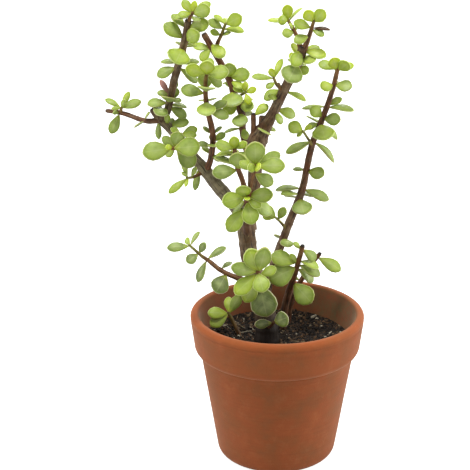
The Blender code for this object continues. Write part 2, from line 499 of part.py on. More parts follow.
def first_clear(twig, leaf, roll, ratio, arch, placed, obstacles):
    """Return the first blade, over ever larger turns, that touches nothing, or None."""
    turns = sorted(((a, b) for a in LEAF_TURNS for b in LEAF_TURNS),
                   key=lambda turn: turn[0] ** 2 + turn[1] ** 2)
    for shorter in (1.0, 0.85):
        for turn in turns:
            blade = blade_for(twig, leaf, roll, ratio, arch, turn, shorter)
            tree = blade_tree(blade)
            near = [other for place, length, other in placed
                    if (place - blade.frame.translation).length < length + blade.length + 2]
            if not any(tree.overlap(other) for other in (*near, *obstacles)):
                return blade
    return None


def blade_mesh(name, blade):
    """Return the mesh of one leaf in its place, in metres."""
    shape = blade_shape(blade)
    place = Matrix.Scale(MM, 4) @ Matrix.Translation((POT_AXIS[0], POT_AXIS[1], 0))
    bmesh.ops.transform(shape, matrix=place, verts=shape.verts)
    mesh = bpy.data.meshes.new(name)
    shape.to_mesh(mesh)
    shape.free()
    return mesh


def add_object(name, mesh, collection, materials, slot=0):
    """Return a new object of the mesh, with every face in the given material slot."""
    for material in materials:
        mesh.materials.append(material)
    for polygon in mesh.polygons:
        polygon.material_index = slot
    thing = bpy.data.objects.new(name, mesh)
    collection.objects.link(thing)
    return thing


def apply_boolean(thing, operation, operands):
    """Join or cut the object by a list of objects, which are then removed."""
    helpers = bpy.data.collections.new("operands")
    bpy.context.scene.collection.children.link(helpers)
    for operand in operands:
        for owner in tuple(operand.users_collection):
            owner.objects.unlink(operand)
        helpers.objects.link(operand)
    boolean = thing.modifiers.new("Boolean", "BOOLEAN")
    boolean.operation = operation
    boolean.operand_type = "COLLECTION"
    boolean.collection = helpers
    evaluated = thing.evaluated_get(bpy.context.evaluated_depsgraph_get())
    result = bpy.data.meshes.new_from_object(evaluated)
    thing.modifiers.clear()
    thing.data = result
    for operand in operands:
        bpy.data.objects.remove(operand)
    bpy.data.collections.remove(helpers)


def make_shoot(shoot, blades, seats, collection, materials):
    """Return a shoot's solid: its twigs and leaves joined, and cut clear of its seats."""
    tubes = [add_object(shoot.name, tube_mesh(shoot.name, twig.route, twig.sides),
                        collection, materials) for twig in shoot.twigs]
    leaves = [add_object("leaf", blade_mesh("leaf", blade), collection, materials, 1)
              for blade in blades]
    stem = tubes[0]
    joined = tubes[1:] + leaves
    if joined:
        apply_boolean(stem, "UNION", joined)
    if seats:
        cutters = [add_object("cutter", tube_mesh("cutter", twig.route, twig.sides, GAP),
                              collection, ()) for seat in seats for twig in seat.twigs]
        apply_boolean(stem, "DIFFERENCE", cutters)
    stem.name = shoot.name
    stem.data.name = shoot.name
    stem.data.shade_smooth()
    stem.data.set_sharp_from_angle(angle=math.radians(50))
    return stem


def arc(centre, radius, start, end, count):
    """Return points of an arc from one angle to another, in degrees, both ends included."""
    angles = [math.radians(start + (end - start) * i / count) for i in range(count + 1)]
    return [(centre[0] + radius * math.cos(a), centre[1] + radius * math.sin(a)) for a in angles]


def inner_radius(height):
    """Return the pot's inner radius at a height: the wall tapers evenly to the floor."""
    share = (height - FLOOR) / (POT_HEIGHT - FLOOR)
    foot = FOOT_RADIUS - WALL + 4.0
    return foot + (RIM_RADIUS - WALL - foot) * share


def pot_profile():
    """Return the pot's outline as radius and height, down its outside and up its inside."""
    collar_foot = POT_HEIGHT - COLLAR_HEIGHT
    lip = arc((RIM_RADIUS - LIP_ROUND, POT_HEIGHT - LIP_ROUND), LIP_ROUND, 90, 0, 3)
    collar = arc((COLLAR_FOOT_RADIUS - COLLAR_ROUND, collar_foot + COLLAR_ROUND),
                 COLLAR_ROUND, 0, -75, 3)
    neck = [(SHOULDER_RADIUS, collar_foot - 1.5)]
    foot = arc((FOOT_RADIUS - FOOT_ROUND + 3.5, FOOT_ROUND), FOOT_ROUND, -8, -90, 4)
    floor = [(DRAIN_RADIUS, 0), (DRAIN_RADIUS, FLOOR)]
    inner_foot = inner_radius(FLOOR + FLOOR_ROUND)
    inside = arc((inner_foot - FLOOR_ROUND, FLOOR + FLOOR_ROUND), FLOOR_ROUND, -90, 0, 2)
    inner_lip = arc((RIM_RADIUS - WALL + 2.0, POT_HEIGHT - 2.0), 2.0, 180, 90, 2)
    return lip + collar + neck + foot + floor + inside + inner_lip


def soil_profile():
    """Return the soil's outline as radius and height, from the middle of its top."""
    top = [(inner_radius(SOIL_TOP) * i / SOIL_RINGS, SOIL_TOP) for i in range(SOIL_RINGS)]
    wall = [(inner_radius(SOIL_TOP) - GAP, SOIL_TOP - 1.0)]
    inner_foot = inner_radius(FLOOR + FLOOR_ROUND)
    foot = arc((inner_foot - FLOOR_ROUND, FLOOR + FLOOR_ROUND), FLOOR_ROUND - GAP, 0, -90, 2)
    return top + wall + foot + [(0, FLOOR + GAP)]


def turned(name, profile, collection, materials, closed):
    """Return a turned object: the profile swept round the pot's axis by Screw."""
    mesh = bpy.data.meshes.new(name)
    shape = bmesh.new()
    verts = [shape.verts.new((radius * MM, 0, height * MM)) for radius, height in profile]
    for start, end in zip(verts, verts[1:] + (verts[:1] if closed else [])):
        if start is not end:
            shape.edges.new((start, end))
    shape.to_mesh(mesh)
    shape.free()
    thing = bpy.data.objects.new(name, mesh)
    collection.objects.link(thing)
    screw = thing.modifiers.new("Screw", "SCREW")
    screw.steps = POT_SEGMENTS
    screw.render_steps = POT_SEGMENTS
    screw.use_merge_vertices = True
    screw.merge_threshold = 0.00001
    evaluated = thing.evaluated_get(bpy.context.evaluated_depsgraph_get())
    result = bpy.data.meshes.new_from_object(evaluated)
    thing.modifiers.clear()
    thing.data = result
    for material in materials:
        result.materials.append(material)
    place = Matrix.Translation((POT_AXIS[0] * MM, POT_AXIS[1] * MM, 0))
    result.transform(place)
    result.shade_smooth()
    result.set_sharp_from_angle(angle=math.radians(35))
    return thing


def roughen_soil(soil):
    """Lift and sink the soil's top by smooth noise, most in the middle, none at the wall."""
    for vert in soil.data.vertices:
        if vert.co.z > (SOIL_TOP - 0.5) * MM:
            lump = noise.noise(vert.co / (SOIL_LUMP * MM))
            vert.co.z += SOIL_UNEVEN * MM * lump


def main():
    """Build the pot, the soil, the trunk and every shoot."""
    for thing in list(bpy.data.objects):
        bpy.data.objects.remove(thing)
    collection = bpy.data.collections.new("elephant_bush_bonsai")
    bpy.context.scene.collection.children.link(collection)
    bark = make_material("bark", BARK_COLOUR, 0.85)
    leaf = make_material("leaf", LEAF_COLOUR, 0.45)
    clay = make_material("terracotta", TERRACOTTA_COLOUR, 0.8)
    earth = make_material("soil", SOIL_COLOUR, 0.95)
    woods = {shoot.name: shoot for shoot in (TRUNK, *SHOOTS)}

    pot = turned("pot", pot_profile(), collection, (clay,), True)
    soil = turned("soil", soil_profile(), collection, (earth,), False)
    roughen_soil(soil)
    stems = [tube_mesh("stem", twig.route, twig.sides, GAP)
             for shoot in woods.values() for twig in shoot.twigs]
    obstacles = [mesh_tree(mesh) for mesh in (*stems, pot.data, soil.data)]
    blades = settle_leaves(SHOOTS, obstacles)

    make_shoot(TRUNK, (), (), collection, (bark, leaf))
    for shoot in SHOOTS:
        seats = [woods[name] for name in shoot.seats]
        make_shoot(shoot, blades[shoot.name], seats, collection, (bark, leaf))
    holes = [add_object("hole", tube_mesh("hole", twig.route, twig.sides, GAP), collection, ())
             for name in ROOTED for twig in woods[name].twigs]
    apply_boolean(soil, "DIFFERENCE", holes)


main()
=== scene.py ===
"""Elephant bush bonsai (Portulacaria afra) in its turned terracotta pot, as it looks in life.

The fixed model gives the size and place of every part. Here the pot is fired clay, the soil is
loose potting mix with grit and rootlets, the wood has bark and node rings, and each leaf is a
thick round blade with its own tone, pale rim and faint veins.

All sizes and routes are in millimetres from the middle of the pot's foot: right, back, up.
"""
import logging
import math
import random
from collections.abc import Callable, Iterable
from dataclasses import dataclass, field
from enum import Enum
from functools import partial

import bmesh
import bpy
from mathutils import Matrix, Vector, noise
from mathutils.bvhtree import BVHTree


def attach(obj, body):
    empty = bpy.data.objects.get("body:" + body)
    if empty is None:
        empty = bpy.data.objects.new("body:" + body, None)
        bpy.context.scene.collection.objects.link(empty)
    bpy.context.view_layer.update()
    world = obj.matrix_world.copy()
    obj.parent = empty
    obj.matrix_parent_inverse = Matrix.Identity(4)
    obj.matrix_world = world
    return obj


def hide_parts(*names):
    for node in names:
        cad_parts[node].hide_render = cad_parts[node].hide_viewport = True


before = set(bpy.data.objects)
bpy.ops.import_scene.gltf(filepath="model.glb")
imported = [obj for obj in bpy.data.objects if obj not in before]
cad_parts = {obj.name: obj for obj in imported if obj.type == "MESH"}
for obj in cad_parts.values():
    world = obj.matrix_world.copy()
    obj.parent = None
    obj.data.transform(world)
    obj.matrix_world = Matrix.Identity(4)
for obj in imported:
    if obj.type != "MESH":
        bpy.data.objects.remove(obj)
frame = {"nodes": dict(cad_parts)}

LOG = logging.getLogger("bonsai")
MM = 0.001

# The pot stands right of the origin, because the plant leans out over its left side.
POT_AXIS = (31.0, 0.0)
TOWARDS_VIEWER = (0.0, -0.94, 0.35)

# The plain tubes that leaves keep clear of, and the rootlets, are cut into steps this long.
PLAIN_STEP = 9.0
WHITE = (1.0, 1.0, 1.0, 1.0)

Point = tuple[float, float, float]
RoutePoint = tuple[float, float, float, float]
Tree = bpy.types.NodeTree
Node = bpy.types.Node
Socket = bpy.types.NodeSocket
Adder = Callable[..., Node]


class Tone(Enum):
    """How a leaf is coloured: from the dull old ones at the foot to the newest at the tips."""

    DULL = 0.0
    DUSTY = 0.25
    GROWN = 0.5
    FRESH = 0.64
    LIME = 1.0


class Skin(Enum):
    """Whether a leaf is alive, still a pink bud, or dried to brown."""

    GREEN = 0.0
    PINK = 0.5
    DRIED = 1.0


@dataclass(frozen=True)
class Leaf:
    """One leaf: where on its twig it grows, and the reach from its root to its tip.

    The upper face looks along the twig, and turns to the viewer as facing goes from 0 to 1.
    """

    at: float
    reach: Point
    facing: float = 0.35
    ratio: float = 0.59
    skin: Skin = Skin.GREEN
    tone: Tone | None = None


@dataclass(frozen=True)
class Twig:
    """One stem: its route, each point with the wood's radius, and its leaves."""

    route: tuple[RoutePoint, ...]
    leaves: tuple[Leaf, ...] = ()
    sides: int = 6
    face: Point | None = None
    cut: bool = False


@dataclass(frozen=True)
class Shoot:
    """A part of the plant grown as one: its twigs, its leaves' tone and how old its bark is."""

    name: str
    twigs: tuple[Twig, ...]
    tone: Tone = Tone.GROWN
    weathered: float = 0.5


@dataclass(frozen=True)
class Blade:
    """A leaf in its final place: its frame, sizes, bend and colouring."""

    frame: Matrix
    length: float
    width: float
    thickness: float
    arch: float
    clear_from: float
    tone: float
    skin: Skin


TRUNK = Shoot("trunk", (
    Twig(((-5, -7, 46, 6.5), (-7, -9, 72, 9.0), (-8, -10, 92, 9.4), (-8.5, -9, 113, 8.0),
          (-14, -8, 135, 7.3), (-20, -6, 157, 6.7), (-22, -5, 170, 6.4), (-23, -4, 180, 6.6),
          (-23.5, -3, 190, 6.6)), sides=12),
), weathered=0.8)

LEFT_LIMB = Shoot("left_limb", (
    Twig(((-23, -3, 182, 5.2), (-29, -2, 196, 5.2), (-44, 3, 212.5, 4.9), (-55, 7, 226, 4.3),
          (-67, 11, 239, 3.8), (-78, 14, 252.5, 3.4), (-87, 16, 261, 3.0), (-92, 17, 268, 2.4)),
         (Leaf(2.1, (9, 9, 9), 0.1), Leaf(3.1, (-2, -6, -18), 0.9, 0.3),
          Leaf(5.9, (-1, -5, -14), 0.8, 0.36), Leaf(5.2, (15, -2, 5), 0.6),
          Leaf(4.9, (-2, 6, 9)), Leaf(5.4, (1, -5, 10), 1, 0.5)),
         sides=8, cut=True),
    Twig(((-86, 15.5, 260, 2.2), (-93, 16, 258.5, 2.0), (-100, 18, 259, 1.9),
          (-108.5, 22, 261, 1.8), (-116, 26, 262, 1.7), (-126.5, 31, 262, 1.5)),
         (Leaf(1.6, (-8, -5, -4), 0.2, 0.4), Leaf(1.6, (4, -6, 8), 0.2, 0.4),
          Leaf(4, (-7, -4, -15), 1, 0.5), Leaf(4, (-5, -4, 1))), cut=True),
    Twig(((-115.5, 26, 262, 1.2), (-114.5, 22, 267.5, 1.0)),
         (Leaf(1, (-12, 3, 6), 0, 0.4), Leaf(1, (6, 3, 12), 0.2, 0.36),
          Leaf(0.9, (3, -4, 8), 0.4, 0.45), Leaf(0.8, (15, -2, 6), 0.4, 0.45),
          Leaf(0.8, (-7, -5, 1), 0.2, 0.4))),
    Twig(((-86, 15.5, 259.5, 2.8), (-81.5, 15, 265, 2.8), (-79.5, 14, 272, 2.7),
          (-77.5, 12, 281, 2.7), (-75.5, 10, 291, 2.8), (-72, 7, 304, 2.9), (-67.5, 3, 322, 2.6),
          (-64.5, 0, 338.5, 2.5)),
         (Leaf(2.0, (13, 2, -3), 0.1, 0.5), Leaf(2.1, (-16, -3, 0), 0.3),
          Leaf(2.7, (-10, 4, 2), 0.5), Leaf(2.2, (-1, -12, 7), 0, 0.9),
          Leaf(2.9, (3, 7, 9)), Leaf(2.4, (8, -6, 2), 0.3),
          Leaf(2.8, (-8, 3, 11), 1, 0.36, Skin.PINK), Leaf(1.7, (14, -3, -6), 0.6),
          Leaf(1.5, (-8, -12, -1), 0.5, 0.9), Leaf(1.0, (-9, 0, 5), 0.5),
          Leaf(4.8, (-15, -2, -6), 0.5), Leaf(5.0, (-13, 3, 1), 0.2),
          Leaf(4.8, (14, -2, -11), 0.35, 0.5), Leaf(5.0, (15, 3, 1), 0.2),
          Leaf(6.1, (-15, 1, 11), 0.75), Leaf(6.6, (-11, 4, 9), 0.4),
          Leaf(6.1, (11, -8, 10), 1, 0.7), Leaf(5.9, (9, 5, -3), 0.2),
          Leaf(5.7, (-5, -16, -7), 0.9, 1.0), Leaf(6.6, (16, -7, 6), 1, 0.62),
          Leaf(6.95, (12, -2, -2), 0, 0.3, Skin.DRIED)), cut=True),
    Twig(((-65, 0, 336.5, 1.3), (-61, -4, 345, 1.1)),
         (Leaf(1, (-7, 3, 9), 0.9), Leaf(1, (13, 3, 7), 0.4, 0.5), Leaf(0.8, (13, -4, 5), 1, 0.7),
          Leaf(0.8, (-10, -3, 2), 0.6), Leaf(0.5, (-12, 2, -1), 0.1), Leaf(0.6, (6, -7, -1), 0.5),
          Leaf(1, (2, 1, 9), 0.9))),
    Twig(((-55, 6, 222.5, 1.4), (-62, 0, 221, 1.1), (-67, -5, 222, 0.9)),
         (Leaf(2, (-3, 3, 14), 0.4, 0.36), Leaf(2, (-14, -3, -11), 0.3, 0.34),
          Leaf(1.7, (-2, -6, -5), 0.5, 0.4), Leaf(1.3, (4, -3, 9), 0.3, 0.4))),
    Twig(((-68, 11, 240.5, 1.9), (-73, 0, 243.5, 1.6), (-77, -9, 245.5, 1.3)),
         (Leaf(2, (-22, -4, -2), 1, 0.62), Leaf(2, (20, -3, 3), 1, 0.8),
          Leaf(1.6, (3, -5, 12), 1, 0.9), Leaf(1.3, (-10, 2, 8), 1),
          Leaf(1.3, (12, 4, -14), 1, 0.72), Leaf(1.4, (-7, 2, -7), 1),
          Leaf(2, (-5, -5, 3), 1)), face=TOWARDS_VIEWER),
    Twig(((-72, 12, 245, 1.3), (-70.5, 8, 252, 1.0)),
         (Leaf(1, (12, 2, 4), 0.6), Leaf(0.9, (12, -4, -1), 0.3), Leaf(1, (-7, 0, 6)))),
), Tone.GROWN, 1.0)

MIDDLE_LEFT_STEM = Shoot("middle_left_stem", (
    Twig(((-52.5, 6.5, 223, 2.4), (-49.5, 1, 233.5, 2.3), (-48, -3, 243, 2.3),
          (-47.5, -5, 251, 2.2), (-48, -6, 259, 2.2), (-50, -6, 268, 2.1), (-51.5, -6.5, 276, 1.9),
          (-52.5, -7, 284, 1.8), (-52.5, -9, 295, 1.5), (-51.5, -11, 303, 1.3)),
         (Leaf(1.5, (8, -7, -2), 0.5), Leaf(2.3, (-11, 1, 2), 0.3), Leaf(2.3, (13, 3, 0), 0.5),
          Leaf(2.6, (0, -10, 1), 0.4, 0.8), Leaf(2.8, (9, 5, 5), 0.4), Leaf(3.6, (-7, 1, 5), 0.1),
          Leaf(3.6, (7, 1, 5), 0.1), Leaf(5.5, (15, -2, -3), 0.5), Leaf(5.6, (14, 6, 4), 0.5),
          Leaf(6.5, (0, -15, -6), 0.7, 1.0), Leaf(7.2, (-18, 2, 3), 0.8),
          Leaf(7.4, (1, -14, 6), 0, 0.9), Leaf(9, (-15, -4, 6), 1, 0.62),
          Leaf(9, (1, -7, 12), 1, 0.85), Leaf(8.9, (16, -5, 3), 0.9, 0.7),
          Leaf(8.6, (11, 3, -8), 0.5), Leaf(8.8, (-7, 9, 3), 0), Leaf(9, (3, 7, 10), 0))),
), Tone.GROWN, 0.35)

RIGHT_LIMB = Shoot("right_limb", (
    Twig(((-21, -3, 182, 4.6), (-19, 1, 199, 4.6), (-17.5, 1, 218, 4.8), (-16, 0, 238, 5.6),
          (-15, -1, 250, 7.2), (-10, -2, 260, 5.0), (-4, -4, 271.5, 3.8), (1, -6, 283.5, 3.7),
          (4.5, -7, 291, 3.5), (9.5, -9, 302.5, 3.3), (14.5, -11, 314, 3.4),
          (16.5, -12, 322.5, 3.2)),
         (Leaf(4.7, (1, -15, 3), 0.3, 0.85), Leaf(6.1, (5, -5, -9), 0.3),
          Leaf(6.2, (15, 3, -6), 0.5), Leaf(6.9, (-9, -6, 3), 0.4),
          Leaf(7.6, (-15, 2, -8), 0.4, 0.5), Leaf(7.6, (16, -2, -7), 0.35, 0.4),
          Leaf(9.6, (-7, -14, -10), 0.8, 0.95, tone=Tone.DUSTY), Leaf(9.4, (9, -3, -4), 0.6, 0.9),
          Leaf(9.9, (-8, -8, 4), 0.6, 0.7), Leaf(9.9, (11, -9, 1), 0.6, 0.7),
          Leaf(10.4, (13, 5, 3), 0.3), Leaf(10.6, (17, -4, -5), 0.5),
          Leaf(10.6, (-12, -6, -8), 1, 0.72)),
         sides=8, cut=True),
    Twig(((3, -6.5, 288, 1.5), (-2, -11, 294, 1.2), (-4.5, -14, 300.5, 1.0)),
         (Leaf(2, (-16, -3, 2), 0, 0.4), Leaf(2, (6, 2, 14), 0.2, 0.36), Leaf(2, (-3, 0, 8), 0.6),
          Leaf(1.3, (-7, -5, -3), 0.6))),
    Twig(((15.5, -11.5, 318, 1.9), (12, -9, 328.5, 1.6), (8, -6, 335.5, 1.3), (5, -4, 340.5, 1.1)),
         (Leaf(1.4, (-9, -5, 0), 0.8, 0.8), Leaf(1.4, (4, 3, 9), 0.3), Leaf(1.8, (-2, -7, 4), 0.8),
          Leaf(2.6, (-15, -2, 1), 0.4, 0.55), Leaf(2.6, (10, 3, 9), 0.3, 0.42),
          Leaf(3, (-1, -3, 12), 1, 0.7), Leaf(3, (-9, -4, 5), 0.9, 0.7),
          Leaf(2.8, (-2, 9, 4), 0))),
    Twig(((16.5, -12, 318.5, 2.1), (20.5, -14, 330.5, 1.7), (22, -16, 336.5, 1.4),
          (23.5, -18, 342.5, 1.2)),
         (Leaf(1.0, (-11, -7, -3), 0.4, 0.6), Leaf(2, (-13, -3, 5), 0.8),
          Leaf(2, (13, -2, -1), 0, 0.3, Skin.DRIED), Leaf(1.8, (9, -5, -1), 0.4),
          Leaf(3, (-6, -3, 9), 1, 0.85), Leaf(3, (7, -3, 9), 1, 0.85),
          Leaf(2.8, (8, 3, 2), 0.3), Leaf(2.8, (0, 9, 5), 0))),
    Twig(((-18, -2, 250, 2.2), (-18.5, -5, 271, 1.8)), (Leaf(0.9, (13, 3, 3), 0.6),), cut=True),
    Twig(((-12, 2, 252, 2.8), (-12, 6, 266, 2.4)), cut=True),
    Twig(((2, -6, 286, 1.6), (-1, -3, 293, 1.2)), cut=True),
), Tone.FRESH, 0.55)

BACK_BRANCH = Shoot("back_branch", (
    Twig(((-17, 0, 220, 2.9), (-21, 9, 232, 2.7), (-24, 13, 241.5, 2.6), (-26, 16, 252, 2.6),
          (-26.5, 18, 262.5, 2.7), (-29, 20, 269, 2.8), (-32, 22, 276.5, 2.7),
          (-34.5, 23, 285, 2.6), (-41.5, 25, 299, 2.5), (-47.5, 26, 309.5, 2.4),
          (-54.5, 27, 321.5, 2.3)),
         (Leaf(3.1, (-14, 1, -4), 0.3, 0.42), Leaf(3.1, (3, -9, -6), 0.7),
          Leaf(4.2, (-1, -14, -6), 0.8, 0.85), Leaf(5.0, (11, -8, 1), 0.7, 0.75),
          Leaf(5.1, (11, 5, 3), 0.3), Leaf(5.0, (-11, -8, -3), 0.7, 0.8),
          Leaf(6.3, (-1, -16, -7), 0.9, 1.0), Leaf(6.5, (-4, 11, 3), 0),
          Leaf(7.3, (1, -6, 13), 1, 0.78), Leaf(7.3, (16, -3, 4), 0.9, 0.75),
          Leaf(7.1, (10, -8, 0), 0.5), Leaf(7.6, (-9, 7, 2), 0.2),
          Leaf(9.1, (-14, 3, 1), 0.4), Leaf(9.1, (-9, -4, -8), 0.7, 0.7),
          Leaf(9.3, (15, -6, -6), 0.6), Leaf(8.5, (3, 12, 3), 0)), cut=True),
    Twig(((-46, 26, 307, 1.8), (-44, 24, 315.5, 1.5), (-41.5, 21, 321.5, 1.3),
          (-39.5, 18, 328, 1.1), (-38, 16, 332, 1.0)),
         (Leaf(2, (-8, -2, 4), 0.7), Leaf(2, (7, -3, 3), 0.2), Leaf(2.8, (15, 1, -2), 0.3, 0.5),
          Leaf(2.8, (-11, -1, 7), 0.8), Leaf(4, (12, -4, 7), 1, 0.78),
          Leaf(4, (-9, 3, 5), 0.3, 0.5), Leaf(3.5, (1, 9, 3), 0))),
    Twig(((-31, 21, 274, 1.3), (-27, 18, 278, 1.0), (-23, 15, 281, 0.9)),
         (Leaf(2, (-3, 1, 8), 0.9), Leaf(2, (8, -3, 4), 0.5), Leaf(2, (3, -6, -7), 0.7),
          Leaf(1.5, (-7, 3, 6), 0.8))),
), Tone.FRESH, 0.4)

FRONT_SHOOT = Shoot("front_shoot", (
    Twig(((-22, -5, 177, 3.4), (-23, -12, 186, 3.0), (-23, -15, 193, 2.7), (-23, -18, 204, 2.3),
          (-23, -21, 215, 2.1)),
         (Leaf(3.0, (-14, -5, -17), 1, 0.6), Leaf(2.9, (-10, 5, -9), 0.6, 0.7),
          Leaf(3.5, (4, -9, -15), 1, 0.75), Leaf(3.4, (18, 3, -10), 0.5, 0.55),
          Leaf(3.9, (-18, -6, -3), 1, 0.72), Leaf(3.9, (19, -5, 3), 0.8, 0.6),
          Leaf(3.7, (10, -7, -5), 0.7), Leaf(3.5, (-9, 5, -9), 0.3), Leaf(4, (0, -9, 0), 0.4),
          Leaf(4, (-2, -7, 13), 1, 0.8))),
    Twig(((-23, -21, 213, 2.1), (-26.5, -20, 226, 1.9), (-29.5, -20, 234, 1.9),
          (-31, -19, 242, 1.8), (-32, -18, 250, 1.6)),
         (Leaf(2, (0, -8, 15), 1, 0.82), Leaf(1.9, (-19, -4, -1), 0.9, 0.58),
          Leaf(2.3, (-17, 5, 2), 0.3, 0.45), Leaf(2.1, (8, 3, -2), 0.3),
          Leaf(3.8, (-14, -4, 5), 0.8, 0.6), Leaf(3.9, (-1, -5, 11), 0.9, 0.65),
          Leaf(3.9, (8, -4, 6), 0.9), Leaf(3.5, (-10, 3, -10), 0.2, 0.42),
          Leaf(3.5, (12, -3, -6), 0.7), Leaf(3.2, (-11, 5, -1), 0.2), Leaf(3, (-3, 11, 4), 0))),
    Twig(((-22.5, -21, 213, 2.0), (-19.5, -27, 228, 1.6), (-16.5, -33, 242, 1.3)),
         (Leaf(2, (-1, -3, 19), 1, 0.78), Leaf(2, (21, -4, 1), 1, 0.6),
          Leaf(1.7, (18, 3, 11), 1, 0.5), Leaf(1.4, (14, 3, -9), 1, 0.6),
          Leaf(2, (-6, -8, 0), 1, 0.8), Leaf(2, (3, -9, 1), 1, 0.8),
          Leaf(1.6, (-11, 2, 6), 1)), face=TOWARDS_VIEWER),
), Tone.GROWN, 0.5)

RIGHT_STEM = Shoot("right_stem", (
    Twig(((-9.5, -8, 121, 3.6), (-7, 5, 134, 3.5), (-2.5, 10, 148, 3.4), (1, 13, 158.5, 3.3),
          (5.5, 15, 170.5, 3.1), (9, 17, 180, 3.1), (12, 18, 187.5, 3.0), (16, 18, 198, 2.9),
          (19, 18, 208.5, 2.7), (21, 18, 220, 2.5), (23, 18, 231, 2.5), (25.5, 18, 242, 2.5),
          (29, 17, 251.5, 2.3), (33, 16, 263, 2.2), (35.5, 15, 271, 2.1), (39.5, 13, 285.5, 1.9),
          (42.5, 12, 300, 1.6)),
         (Leaf(3.8, (3, -12, -3), 0.6, 0.95), Leaf(7.0, (3, -16, -7), 0.9, 1.0),
          Leaf(7.7, (-20, 3, -2), 0.3, 0.42), Leaf(7.7, (20, -2, -8), 0.5, 0.42),
          Leaf(7.3, (-15, -5, 2), 0.2, 0.5), Leaf(7.3, (10, 5, -3), 0.2),
          Leaf(9, (-10, 3, 0), 0.3), Leaf(9, (13, -8, -1), 0.7, 0.75),
          Leaf(11, (-20, -2, -8), 0.2, 0.4), Leaf(11, (16, 3, -17), 0.3, 0.4),
          Leaf(12.4, (3, -17, -7), 0.9, 1.05), Leaf(12.4, (-10, 3, -4), 0.5),
          Leaf(12.4, (13, 4, -13), 0.3, 0.42), Leaf(12.9, (-10, -6, 9), 0.9, 0.7),
          Leaf(12.8, (13, -7, 1), 0.9, 0.75), Leaf(13.8, (-18, 3, -2), 0, 0.42),
          Leaf(13.8, (20, -2, -2), 0.2, 0.42), Leaf(14.0, (11, 4, 3), 0.4),
          Leaf(15.1, (-10, -8, 0), 0.6, 0.8), Leaf(15.1, (13, -6, 0), 0.6, 0.75),
          Leaf(16, (-14, 3, 4), 0.7), Leaf(16, (-4, -4, 10), 1, 0.85),
          Leaf(16, (7, -4, 9), 1, 0.85), Leaf(15.9, (12, 2, 3), 0.5), Leaf(15.7, (1, 9, 4), 0))),
    Twig(((25.5, 18, 239, 1.2), (21, 12, 247.5, 1.0), (17.5, 8, 254, 0.9)),
         (Leaf(2, (-11, -3, 7), 1, 0.8), Leaf(1.8, (-5, -2, -3), 0.3), Leaf(2, (6, 3, 4), 0.3))),
    Twig(((7, 16, 174.5, 1.3), (1.5, 10, 183, 1.0), (-2, 5, 188, 0.9)),
         (Leaf(1.4, (5, -3, 11), 0.8, 0.6), Leaf(2, (-10, -2, 10), 0.6),
          Leaf(2, (-10, 3, 0), 0.3))),
), Tone.GROWN, 0.5)

LOW_LEFT_TWIG = Shoot("low_left_twig", (
    Twig(((-15, -8, 140, 2.3), (-28, -12, 146, 2.1), (-37, -16, 151.5, 1.9), (-44, -19, 157, 1.8),
          (-50.5, -22, 164, 1.6), (-55, -24, 168, 1.3), (-59, -26, 172.5, 1.1),
          (-65, -28, 179, 0.9)),
         (Leaf(2.1, (-8, -9, -12), 1, 0.88), Leaf(2.7, (8, 6, 4), 0.2, 0.5),
          Leaf(4.3, (14, 2, 9), 0.3, 0.45), Leaf(4.3, (-7, -2, -17), 0.5, 0.4),
          Leaf(5.7, (-9, -5, -5), 0.9, 0.7), Leaf(5.7, (5, -4, 10), 0.8, 0.55),
          Leaf(7, (-17, -2, -1), 0.7, 0.48), Leaf(7, (7, 3, 10), 0.3, 0.36),
          Leaf(7, (-3, 8, 3), 0))),
), Tone.DUSTY, 0.4)

BASE_ROSETTE = Shoot("base_rosette", (
    Twig(((-13.5, -8, 135, 2.5), (-14, -20, 147, 2.0), (-15, -32, 160, 1.6)),
         (Leaf(2, (-7, -2, 19), 1, 0.68), Leaf(2, (6, -3, 23), 1, 0.56),
          Leaf(2, (-19, -5, 6), 1, 0.56), Leaf(1.8, (-17, -4, -15), 1, 0.56),
          Leaf(2, (4, -10, -12), 1, 0.85), Leaf(1.4, (-10, 1, -20), 1, 0.5),
          Leaf(1.0, (6, -8, -25), 1, 0.78, tone=Tone.DUSTY),
          Leaf(1.5, (13, 2, 6), 1)),
         face=TOWARDS_VIEWER),
), Tone.GROWN, 0.4)

FOOT_LEAVES = Shoot("foot_leaves", (
    Twig(((-8, -12, 106, 1.9), (-3, -25, 117, 1.4)),
         (Leaf(1, (-14, -4, 0), 1, 0.55), Leaf(1, (11, -4, 6), 1, 0.95)), face=TOWARDS_VIEWER),
), Tone.DULL, 0.8)

TALL_CUT_STEM = Shoot("tall_cut_stem", (
    Twig(((5, 17, 68, 2.6), (5, 17, 91, 2.7), (5.5, 15, 108, 2.8), (7.5, 13, 121, 2.7),
          (10.5, 10, 132, 2.5), (14, 7, 145.5, 2.1), (16.5, 4, 157, 1.9), (18.5, 1, 167.5, 1.8)),
         (Leaf(5.2, (-21, -7, -8), 1, 0.8), Leaf(5.5, (-21, 5, 2), 0.7, 0.6),
          Leaf(5.5, (-4, -3, 9), 0.9, 0.5), Leaf(5.7, (15, -3, -5), 0.3),
          Leaf(5.4, (17, -2, -8), 0.3), Leaf(6.6, (11, 4, -9), 0.7),
          Leaf(6.6, (-6, 3, 5), 0.5), Leaf(5.1, (13, 4, -12), 0.3),
          Leaf(4.2, (17, -8, -11), 1, 0.8)), cut=True),
), Tone.GROWN, 0.35)

SHORT_CUT_STEM = Shoot("short_cut_stem", (
    Twig(((9, 27, 68, 2.0), (9, 27, 91, 2.1), (10, 27, 103, 2.0), (12, 26, 114, 2.0),
          (15.5, 25, 124, 2.0), (20, 24, 133, 1.9), (24, 23, 141, 1.8), (28.5, 21.5, 148, 1.7),
          (32.5, 20, 154, 1.6)),
         (Leaf(7.4, (18, -3, -10), 0.6, 0.5), Leaf(7.4, (-9, 10, 2), 0.1),
          Leaf(5.8, (6, 12, 2), 0), Leaf(4.6, (-12, 6, 3), 0.2)), cut=True),
), Tone.GROWN, 0.5)

